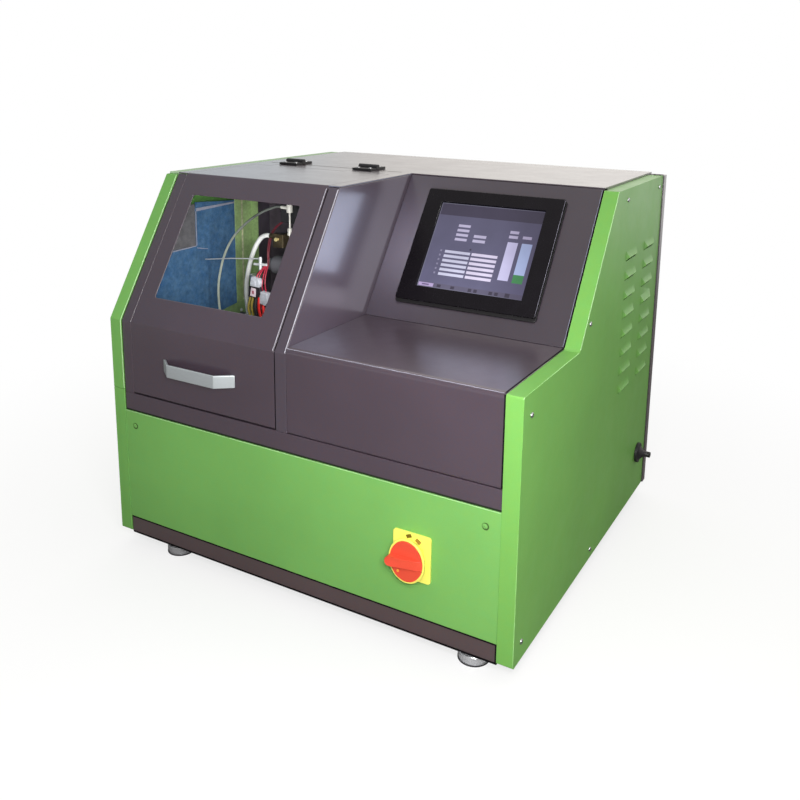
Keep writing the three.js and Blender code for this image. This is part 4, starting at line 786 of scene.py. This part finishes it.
HOSE_Y = 200.0
RETURN_ROUTE = [
    (-164.4, 567.0), (-173.3, 567.0), (-186.0, 563.0), (-205.0, 555.0), (-234.0, 538.0), (-270.0, 507.0),
    (-294.0, 471.0), (-308.0, 431.0), (-313.0, 395.0), (-310.0, 355.0), (-302.0, 318.0), (-300.0, 295.9),
    (-300.0, 286.8)]
SUPPLY_ROUTE = [
    (-189.3, 514.0), (-198.3, 514.0), (-211.0, 507.0), (-224.0, 489.0), (-235.0, 463.0), (-243.0, 434.0),
    (-246.0, 400.0), (-242.0, 360.0), (-237.0, 325.0), (-236.0, 295.9), (-236.0, 286.8)]
OIL_LEVELS = (470.0, 545.0)


def hose_finish():
    """A clear hose: the oil in its upper part shows dark and its lower part is pale."""
    made = Finish("hose_clear")
    low, high = (at(0, 0, z).z for z in OIL_LEVELS)
    height = made.spread(made.split()["Z"], 0.0, 1.0, low, high)
    shade = made.mix(height, colour(206, 212, 196), colour(112, 116, 112))
    made.bump(made.noise(200.0, 2.0), 0.1, 0.0003)
    made.dress(Base_Color=made.multiply(shade, made.spread(made.noise(60.0, 3.0), 0.8, 1.1)),
               Roughness=made.spread(made.noise(40.0, 2.0), 0.08, 0.2), Coat_Weight=0.8)
    return made.material


def hose(name, slot, route, radius, material, sides):
    return tubes(name, slot, [[(x, HOSE_Y, z) for x, z in route]], radius, material, sides, 6)


HOSE_WHITE = finish("hose_white", (240, 240, 238), 0.34, mottle=0.08, mottle_scale=50.0)
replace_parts(hose("return_hose_clear", "clear_hose", RETURN_ROUTE, 2.3, hose_finish(), 16), "return_hose")
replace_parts(hose("supply_hose_white", "white_hose", SUPPLY_ROUTE, 4.1, HOSE_WHITE, 20), "supply_hose")
SILVER = finish("silver", (226, 228, 232), 0.3, 0.3, mottle=0.1, mottle_scale=60.0)
CROSS_X, CROSS_Y = -192.0, 175.0


def add_cross(bm):
    """The upright fitting, the bar across it and the thin return rod."""
    tube(bm, [(CROSS_X, CROSS_Y, z) for z in (454.0, 458.0, 480.0)], 2.9)
    tube(bm, [(-205.6, CROSS_Y, 466.0), (-178.4, CROSS_Y, 467.6)], 2.4)
    tube(bm, [(-192.5, CROSS_Y, 477.0), (-258, CROSS_Y, 470.0), (-319.8, 176, 461.0)], 1.1, 8)


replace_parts(built("return_cross", "chrome", add_cross, SILVER), "return_tee")

PLUG_GREY = finish("plug_grey", (196, 198, 208), 0.45, mottle=0.12, mottle_scale=120.0, grain=0.15,
                   grain_scale=300.0)


def add_plug(bm):
    """The housing and the raised pad on its front."""
    prism(bm, upright(165.2), [(-201, 431.4), (-181, 430.4), (-178.5, 438), (-183, 446), (-197, 448.5)],
          0.0, 10.0)
    prism(bm, upright(156), [(-199.5, 434), (-188, 434), (-188, 442.5), (-197.5, 443.5)], 0.0, 1.9)


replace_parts(built("plug_housing", "white_hose", add_plug, PLUG_GREY, 0.8), "injector_plug")
plates("plug_lower", "black_matte", upright(165.4), [
    [(-206, 411), (-186, 411), (-180, 418), (-180, 430.2), (-203, 431.2)]], (0.0, 9.0),
    finish("plug_dark", (44, 38, 44), 0.4, mottle=0.3, mottle_scale=90.0), 0.8)
plates("plug_label", "white_hose", upright(156.5), [
    [(-201, 414), (-189, 412.5), (-187.5, 427.5), (-198, 429)]], (0.0, 0.7),
    finish("label_pale", (222, 204, 212), 0.4, mottle=0.25, mottle_scale=150.0), 0.2)
plates("plug_label_mark", "red", upright(155.8), [rectangle(-196.5, -192.0, 418.0, 423.5)], (-0.05, 0.25),
       finish("label_rose", (176, 96, 112), 0.4))
plates("inlet_connector", "white_hose", upright(170.2), [
    [(-183.5, 402), (-171, 398.5), (-165, 405), (-166, 420.5), (-181, 423)]], (0.0, 12.0), PLUG_GREY, 1.0)
tubes("plug_wires", "red", [
    [(-181, 160, 376), (-184, 158.5, 392), (-184, 160, 412)],
    [(-174, 162, 374), (-175, 160, 388), (-177, 162, 402)]], 2.7,
    finish("wire_bright_red", (214, 40, 36), 0.4, mottle=0.15, mottle_scale=120.0), 10, 5)
tubes("plug_wires_olive", "iron", [
    [(-206, 161, 376), (-207, 158, 392), (-203, 160, 411.5)],
    [(-199, 162, 375), (-200, 158, 394), (-197, 160, 411.5)]], 2.2,
    finish("wire_olive", (150, 132, 56), 0.45, mottle=0.4, mottle_scale=80.0), 10, 5)
tubes("plug_wires_black", "black_matte", [
    [(-190, 161, 375), (-191, 158, 392), (-191, 160, 411.5)]], 2.6, None, 10, 5)
LEAD_ROUTE = [
    (-184, 186, 468), (-185, 188, 486), (-187, 198, 512), (-185, 211, 528), (-178, 224, 537),
    (-170, 229, 541)]


def strand(reach_x, reach_y, feet):
    """One wire of the lead: from its own foot at the plug or the connector, along the lead's route."""
    return feet + [(x + reach_x, y + reach_y, z) for x, y, z in LEAD_ROUTE]


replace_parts(tubes("lead_wires", "red", [
    strand(-1.6, 0.0, [(-193, 162, 445), (-192, 170, 455)]),
    strand(0.2, 1.2, [(-188, 163, 445), (-188, 172, 456)]),
    strand(1.6, 0.0, [(-177, 168, 421), (-180, 174, 446)])], 0.7,
    finish("wire_dark_red", (118, 30, 46), 0.4, mottle=0.4, mottle_scale=120.0), 8, 5), "injector_lead")
tubes("lead_wires_front", "red", [
    [(-190, 161, 445), (-188, 163, 452), (-186, 178, 464)],
    [(-185, 161, 444), (-184, 164, 452), (-184, 178, 464)],
    [(-181, 166, 421), (-179, 163, 440), (-182, 178, 464)],
    [(-174, 167, 420), (-175, 165, 440), (-180, 180, 466)]], 1.0,
    finish("wire_rose", (176, 44, 66), 0.4, mottle=0.3, mottle_scale=120.0), 8, 5)

RISER_X = -146.0
SPIGOT_HEIGHT = 567.0
NICKEL = finish("riser_nickel", (238, 234, 226), 0.3, 0.1, mottle=0.15, mottle_scale=60.0)

# The riser's foot nut, pipe, middle nut and cap: levels, radius and number of sides
RISER_PARTS = (
    ((490.3, 500.0), 5.0, 6),
    ((500.0, 530.0, 560.0), 1.6, 12),
    ((519.0, 532.0), 4.2, 6),
    ((559.0, 576.0), 5.4, 20),
)


def add_riser(bm):
    """The riser's parts and the spigot that the return hose sits on."""
    for levels, radius, sides in RISER_PARTS:
        tube(bm, [(RISER_X, HOSE_Y, z) for z in levels], radius, sides)
    tube(bm, [(-164.0, HOSE_Y, SPIGOT_HEIGHT), (RISER_X, HOSE_Y, SPIGOT_HEIGHT)], 2.9)


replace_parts(built("riser_thin", "chrome", add_riser, NICKEL, 0.6, 30.0), "rail_riser")
# The small brass nut's pale colour is partly a painted highlight
built("brass_nut", "brass", lambda bm: tube(
    bm, [(-169, 194.2, 511), (-169, 191.0, 511), (-169, 188.5, 511)], 3.8, 6),
    finish("brass_glint_pale", (226, 210, 150), 0.24, 0.6, mottle=0.3, mottle_scale=120.0), 0.5, least_angle=20.0)

# The left wall: the film's top, highlights painted on its folds and on the post's bend, the plate behind its
# notch, its foot rail, and shadow painted in the corner behind the post
LINER_FACE = -347.9
RAIL_FACE = 1.4


def liner(depth, height, out):
    """A point on the left wall, which is looked at from the chamber: out stands off the film's face."""
    return at(LINER_FACE + out, depth, height)


plates("notch_plate", "steel", liner, [
    [(66, 476), (183.4, 482.2), (183.4, 558.5), (118, 558.5)]], (-1.7, -0.4),
    finish("notch_plate", (106, 104, 108), 0.5, mottle=0.25, mottle_scale=50.0, grain=0.2,
           grain_scale=220.0))
plates("film_top", "blue_film", liner, [
    [(184.6, 549.5), (292.0, 549.5), (292.0, 553.0), (240.0, 557.2), (184.6, 561.8)]], (-1.3, -0.2))
# Painted highlights: pale lines along the film's folds and the edges of its notch
plates("film_shine_lines", "blue_film", liner, [
    [(186, 545.0), (290.5, 547.8), (290.5, 550.8), (186, 550.8)],
    [(70, 478.6), (184, 480.6), (184, 482.0), (70, 481.2)],
    [(184.2, 482), (186, 482), (186, 545), (184.2, 545)],
    [(186, 476.5), (214, 470.5), (214, 471.5), (186, 478.0)]], (-SUNK, 0.5),
    finish("film_shine_pale", (154, 156, 174), 0.5, mottle=0.15, mottle_scale=60.0))
plates("film_foot_rail", "green_paint", liner, [
    [(205, 277.2), (342.6, 277.2), (342.6, 352.0), (291, 350.5), (240, 344.0), (205, 334.0)]],
    (0.05, RAIL_FACE),
    finish("foot_rail_green", (150, 182, 122), 0.5, mottle=0.3, mottle_scale=40.0, grain=0.2), 0.4)
screws("film_foot_screw", "steel", [(LINER_FACE + RAIL_FACE, 301.6, 333.4)], (1, 0, 0), *RAIL_HEAD, SILVER)
# A painted highlight: a pale line along the post's bend
plates("post_shine_line", "green_paint", liner, [rectangle(309.4, 314.4, 353.0, 601.0)], (0.0, 0.6),
       finish("post_shine_pale", (236, 246, 184), 0.4, mottle=0.4, mottle_scale=60.0, grain=0.4, grain_scale=160.0))
# Painted shadow: a dark plate on the wall behind the post
plates("corner_shadow_plate", "black_matte", liner, [rectangle(343.6, 396.2, 277.4, 601.0)], (-1.3, 1.0),
       finish("corner_shadow_tone", (92, 82, 94), 0.5, mottle=0.25, mottle_scale=24.0, grain=0.15))

# Gaps, dark lines along edges, and highlights painted along edges

# The pale, blue and green edge finishes colour painted highlights along the edges
EDGE_LIGHT = finish("edge_light", (196, 196, 208), 0.4, mottle=0.1, mottle_scale=30.0, grain=0.1)
EDGE_BLUE = finish("highlight_blue", (128, 132, 152), 0.4, mottle=0.15, mottle_scale=30.0, grain=0.1)
EDGE_GREEN = finish("highlight_green", (186, 232, 168), 0.4, mottle=0.12, mottle_scale=30.0, grain=0.05)
EDGE_BLACK = finish("edge_black", (12, 9, 13), 0.7, mottle=0.2, grain=0.1, Specular_IOR_Level=0.15)
STEP_GAP = (-28.4, -26.6)
CONSOLE_GAP = (346.6, COVER_HALF)


def along(slope, across, low, high, out=-0.25):
    return [slope.place(across, low, out), slope.place(across, high, out)]


tubes("lid_edge_light", "dark_paint", [along(LID, -31.2, 1.0, 271.5)], 0.65, EDGE_LIGHT, 8, body="lid")
tubes("step_edge_light", "dark_paint", [along(LID, -8.8, 1.0, 271.5)], 0.85, EDGE_LIGHT, 8)
built("step_edge_dark", "dark_paint", lambda bm: [
    prism(bm, LID, rectangle(*STEP_GAP, 1.0, 271.0), *LINE),
    prism(bm, COVERS, rectangle(*STEP_GAP, 260.0, 384.0), *LINE)], EDGE_BLACK)
tubes("ledge_bend_light", "dark_paint", [[(-4.0, 2.5, 393.2), (346.0, 2.5, 393.2)]], 0.6,
      finish("bend_shine_tone", (150, 148, 164), 0.4, mottle=0.15, mottle_scale=30.0), 8)
tubes("console_edge_light", "dark_paint", [along(DISPLAY, 345.8, 2.0, 271.0)], 0.6, EDGE_BLUE, 8)
built("console_edge_dark", "dark_paint", lambda bm: [
    prism(bm, COVERS, rectangle(*CONSOLE_GAP, 260.0, 391.5), *LINE),
    prism(bm, LEDGE, rectangle(*CONSOLE_GAP, 4.5, 221.0), *LINE),
    prism(bm, DISPLAY, rectangle(346.8, COVER_HALF, 1.0, 271.0), *LINE)], EDGE_BLACK)
tubes("roof_edge_light", "dark_paint", [
    [(-28.2, 149.0, 618.9), (-7.2, 149.0, 618.9)],
    [(-7.2, 149.4, 618.9), (-7.2, 378.0, 618.9)]], 0.9, EDGE_BLUE, 8)
plates("plinth_gaps", "dark_paint", COVERS, [
    rectangle(-COVER_HALF, COVER_HALF, 26.2, 29.3), rectangle(*CONSOLE_GAP, 0.2, 26.2)], GAP, EDGE_BLACK)
plates("plinth_foot_strip", "black_matte", upright(12.0), [rectangle(-COVER_HALF, COVER_HALF, -3.6, 0.1)],
       (0.0, 9.6), EDGE_BLACK, 0.4)
plates("crossbar_gap", "dark_paint", COVERS, [rectangle(-COVER_HALF, COVER_HALF, 226.5, 229.2)], GAP,
       finish("gap_green", (34, 46, 30), 0.6, mottle=0.2, Specular_IOR_Level=0.2))
tubes("lower_front_edge_light", "green_paint", [[(-349.0, 0.8, 225.3), (349.0, 0.8, 225.3)]], 0.55,
      EDGE_GREEN, 8)
tubes("left_flange_light", "green_paint", [
    [(-350.6, 0.2, 265.0), (-350.6, 0.2, 384.8), (-350.6, 144.0, 615.4)]], 0.8, EDGE_GREEN, 8)
# Painted reflection: the pale green of the plate on the left panel's top
plates("left_top_edge", "green_paint", level(615.9), [rectangle(-374.5, -350.4, 152.0, 655.9)], (0.0, 3.5),
       finish("top_sheen_pale_green", (176, 204, 168), 0.6, mottle=0.12, mottle_scale=20.0,
              Specular_IOR_Level=0.1), 0.6)
tubes("right_flange_light", "green_paint", [
    [(374.3, 0.5, 3.0), (374.3, 0.5, 392.3), (374.3, 219.0, 392.3), (374.3, 374.6, 615.2)]], 0.6,
    EDGE_GREEN, 8)

PAD_RADIUS = 23.9
PAD_LEVELS = (-27.9, -25.9)
for end, depth in (("front", 34.0), ("rear", 622.0)):
    for side, across in (("left", -266.0), ("right", 301.0)):
        where = end + "_" + side
        tubes("foot_pad_" + where, "black_matte", [[(across, depth, z) for z in PAD_LEVELS]], PAD_RADIUS,
              sides=48, body=BODY_OF["foot_" + where])

# Floor, lights and background


def make_floor():
    """A pale floor that keeps the shadow near the object and fades into the white background."""
    bm = bmesh.new()
    bmesh.ops.create_grid(bm, x_segments=2, y_segments=2, size=9.0)
    mesh = bpy.data.meshes.new("floor")
    bm.to_mesh(mesh)
    bm.free()
    floor = bpy.data.objects.new("floor", mesh)
    bpy.context.scene.collection.objects.link(floor)
    material = bpy.data.materials.new("floor")
    graph = Graph(material)
    place = graph.node("ShaderNodeTexCoord").outputs["Object"]
    away = graph.node("ShaderNodeVectorMath", {0: place}, operation="LENGTH").outputs["Value"]
    white = graph.node("ShaderNodeEmission", {"Color": WHITE}).outputs["Emission"]
    pale = graph.node("ShaderNodeBsdfDiffuse", {"Color": (0.9, 0.9, 0.9, 1.0)}).outputs["BSDF"]
    plain = graph.node("ShaderNodeBsdfDiffuse", {"Color": (0.2, 0.19, 0.19, 1.0)}).outputs["BSDF"]
    near = graph.blend(graph.spread(away, 0.72, 1.0, 0.3, 1.4, "SMOOTHSTEP"), pale, white)
    mirrored = graph.blend(graph.spread(away, 0.0, 0.9, 1.6, 4.5, "SMOOTHSTEP"), plain, white)
    graph.node("ShaderNodeOutputMaterial", {"Surface": graph.blend(graph.seen(), mirrored, near)})
    floor.data.materials.append(material)


def make_world():
    """White behind the object as the camera sees it, and a room that is brightest behind and above."""
    world = bpy.data.worlds.new("studio")
    bpy.context.scene.world = world
    graph = Graph(world)
    way = graph.node("ShaderNodeTexCoord").outputs["Generated"]

    def towards(direction):
        facing = graph.node("ShaderNodeVectorMath", {0: way, 1: direction}, operation="DOT_PRODUCT")
        return facing.outputs["Value"]

    behind = graph.spread(towards((-0.25, 0.88, 0.41)), 0.22, 1.0, -0.3, 0.75, "SMOOTHSTEP")
    right = towards((1.0, 0.0, 0.0))
    rightward = graph.spread(right, 0.78, 1.3, -0.7, -0.25, "SMOOTHSTEP")
    strength = graph.calculate("MULTIPLY", behind, rightward)
    warmth = graph.spread(right, 0.0, 1.0, -0.64, -0.5, "SMOOTHSTEP")
    tint = graph.mix(warmth, (0.88, 0.95, 1.0, 1.0), (1.0, 0.965, 0.915, 1.0))
    room = graph.node("ShaderNodeBackground", {"Color": tint, "Strength": strength}).outputs["Background"]
    backdrop = graph.node("ShaderNodeBackground", {"Color": WHITE}).outputs["Background"]
    graph.node("ShaderNodeOutputWorld", {"Surface": graph.blend(graph.seen(), room, backdrop)})


def make_lamp(name, place, target, size, energy, tint, diffuse=True, glossy=True, receivers=()):
    """A soft lamp between places in mm. With receivers it stands for a bounce that only those pieces get."""
    data = bpy.data.lights.new(name, "AREA")
    data.shape = "RECTANGLE"
    data.size, data.size_y = size
    data.energy = energy
    data.color = tint
    lamp = bpy.data.objects.new(name, data)
    lamp.location = at(*place)
    lamp.rotation_euler = (at(*target) - at(*place)).to_track_quat("-Z", "Y").to_euler()
    lamp.visible_camera = False
    lamp.visible_diffuse = diffuse
    lamp.visible_glossy = glossy
    bpy.context.scene.collection.objects.link(lamp)
    if receivers:
        lit_pieces = bpy.data.collections.new(name + "_receivers")
        for piece in receivers:
            lit_pieces.objects.link(bpy.data.objects[piece])
        lamp.light_linking.receiver_collection = lit_pieces
    return lamp


FILM = ["chamber_liner_dressed", "film_top", "notch_plate", "film_shine_lines"]
CHAMBER_WALLS = FILM + [
    "chamber_post_dressed", "film_foot_rail", "post_shine_line", "film_foot_screw", "corner_shadow_plate",
    "left_side_panel_upper_dressed"]
CHAMBER_PIECES = [
    "supply_hose_white", "return_hose_clear", "riser_thin", "return_cross", "plug_housing", "plug_lower",
    "plug_label", "plug_label_mark", "inlet_connector", "plug_wires", "plug_wires_olive",
    "plug_wires_black", "lead_wires", "lead_wires_front", "brass_nut", "brass_block_dressed",
    "common_rail_dressed", "chamber_bulkhead_dressed", "junction_box_dressed", "rail_stand_dressed",
    "pressure_pipe_dressed", "injector_dressed"]
MIDDLE = (0, 200, 250)
LAMP_WHITE = (1.0, 0.99, 0.98)
CHAMBER_WHITE = (1.0, 0.98, 0.96)

make_floor()
make_world()
make_lamp("key", (640, -700, 700), MIDDLE, (0.36, 0.36), 12.5, LAMP_WHITE)
make_lamp("fill", (-1500, -1500, 1500), MIDDLE, (1.4, 1.4), 2.6, LAMP_WHITE, glossy=False)
make_lamp("edge_light", (1900, -500, 1500), (0, 150, 450), (0.8, 0.8), 9.0, (1.0, 1.0, 1.0), diffuse=False)
make_lamp("chamber_light", (-95, 114, 480), (-348, 235, 462), (0.05, 0.05), 0.3, CHAMBER_WHITE,
          receivers=CHAMBER_WALLS)
make_lamp("chamber_pieces_light", (-95, 112, 482), (-205, 200, 470), (0.05, 0.05), 0.15, CHAMBER_WHITE,
          receivers=CHAMBER_PIECES)
make_lamp("chamber_fill", (-255, 296, 425), (-348, 272, 425), (0.1, 0.16), 0.036, CHAMBER_WHITE, glossy=False,
          receivers=FILM)
make_lamp("corner_light", (40, 215, 560), (0, 300, 500), (0.1, 0.1), 0.5, (0.84, 1.0, 0.95), glossy=False,
          receivers=["display_panel_dressed"])
make_lamp("wall_low_light", (115, 82, 430), (-6, 92, 425), (0.12, 0.12), 0.13, (0.98, 0.98, 1.0),
          glossy=False, receivers=["step_cover_dressed"])
make_lamp("foot_light", (520, -420, 40), (200, 34, -16), (0.25, 0.25), 2.4, (1.0, 1.0, 1.0),
          receivers=[node + "_dressed" for node in FEET])

GLOW_HEIGHT = 7.6
SCREEN_BLUE = (0.7, 0.78, 1.0)
PANEL_PALE = (0.9, 0.88, 1.0)
SCREEN_AREA = (74.5, 263.5, 63.5, 221.5)


def make_glow(name, area, energy, tint, receiver):
    """A bright part of the display's slope, in the gloss of the piece beside it."""
    left, right, low, high = area
    middle = ((left + right) / 2, (low + high) / 2)
    size = ((right - left) * MM, (high - low) * MM)
    glow = make_lamp(name, DISPLAY.place(*middle, GLOW_HEIGHT), DISPLAY.place(*middle, 0.0), size, energy,
                     tint, diffuse=False, receivers=[receiver])
    glow.rotation_euler = Matrix((DISPLAY.across, DISPLAY.up, DISPLAY.out)).transposed().to_euler()
    glow.rotation_euler.rotate_axis("X", math.pi)


make_glow("wall_glow", SCREEN_AREA, 0.24, SCREEN_BLUE, "step_cover_dressed")
make_glow("ledge_glow", SCREEN_AREA, 0.03, SCREEN_BLUE, "console_cover_dressed")
make_glow("panel_glow_left", (-5.0, 43.0, 1.0, 270.0), 0.016, PANEL_PALE, "step_cover_dressed")
make_glow("panel_glow_low", (43.0, 293.0, 1.0, 37.0), 0.016, PANEL_PALE, "step_cover_dressed")

bpy.context.scene.view_settings.view_transform = "Standard"
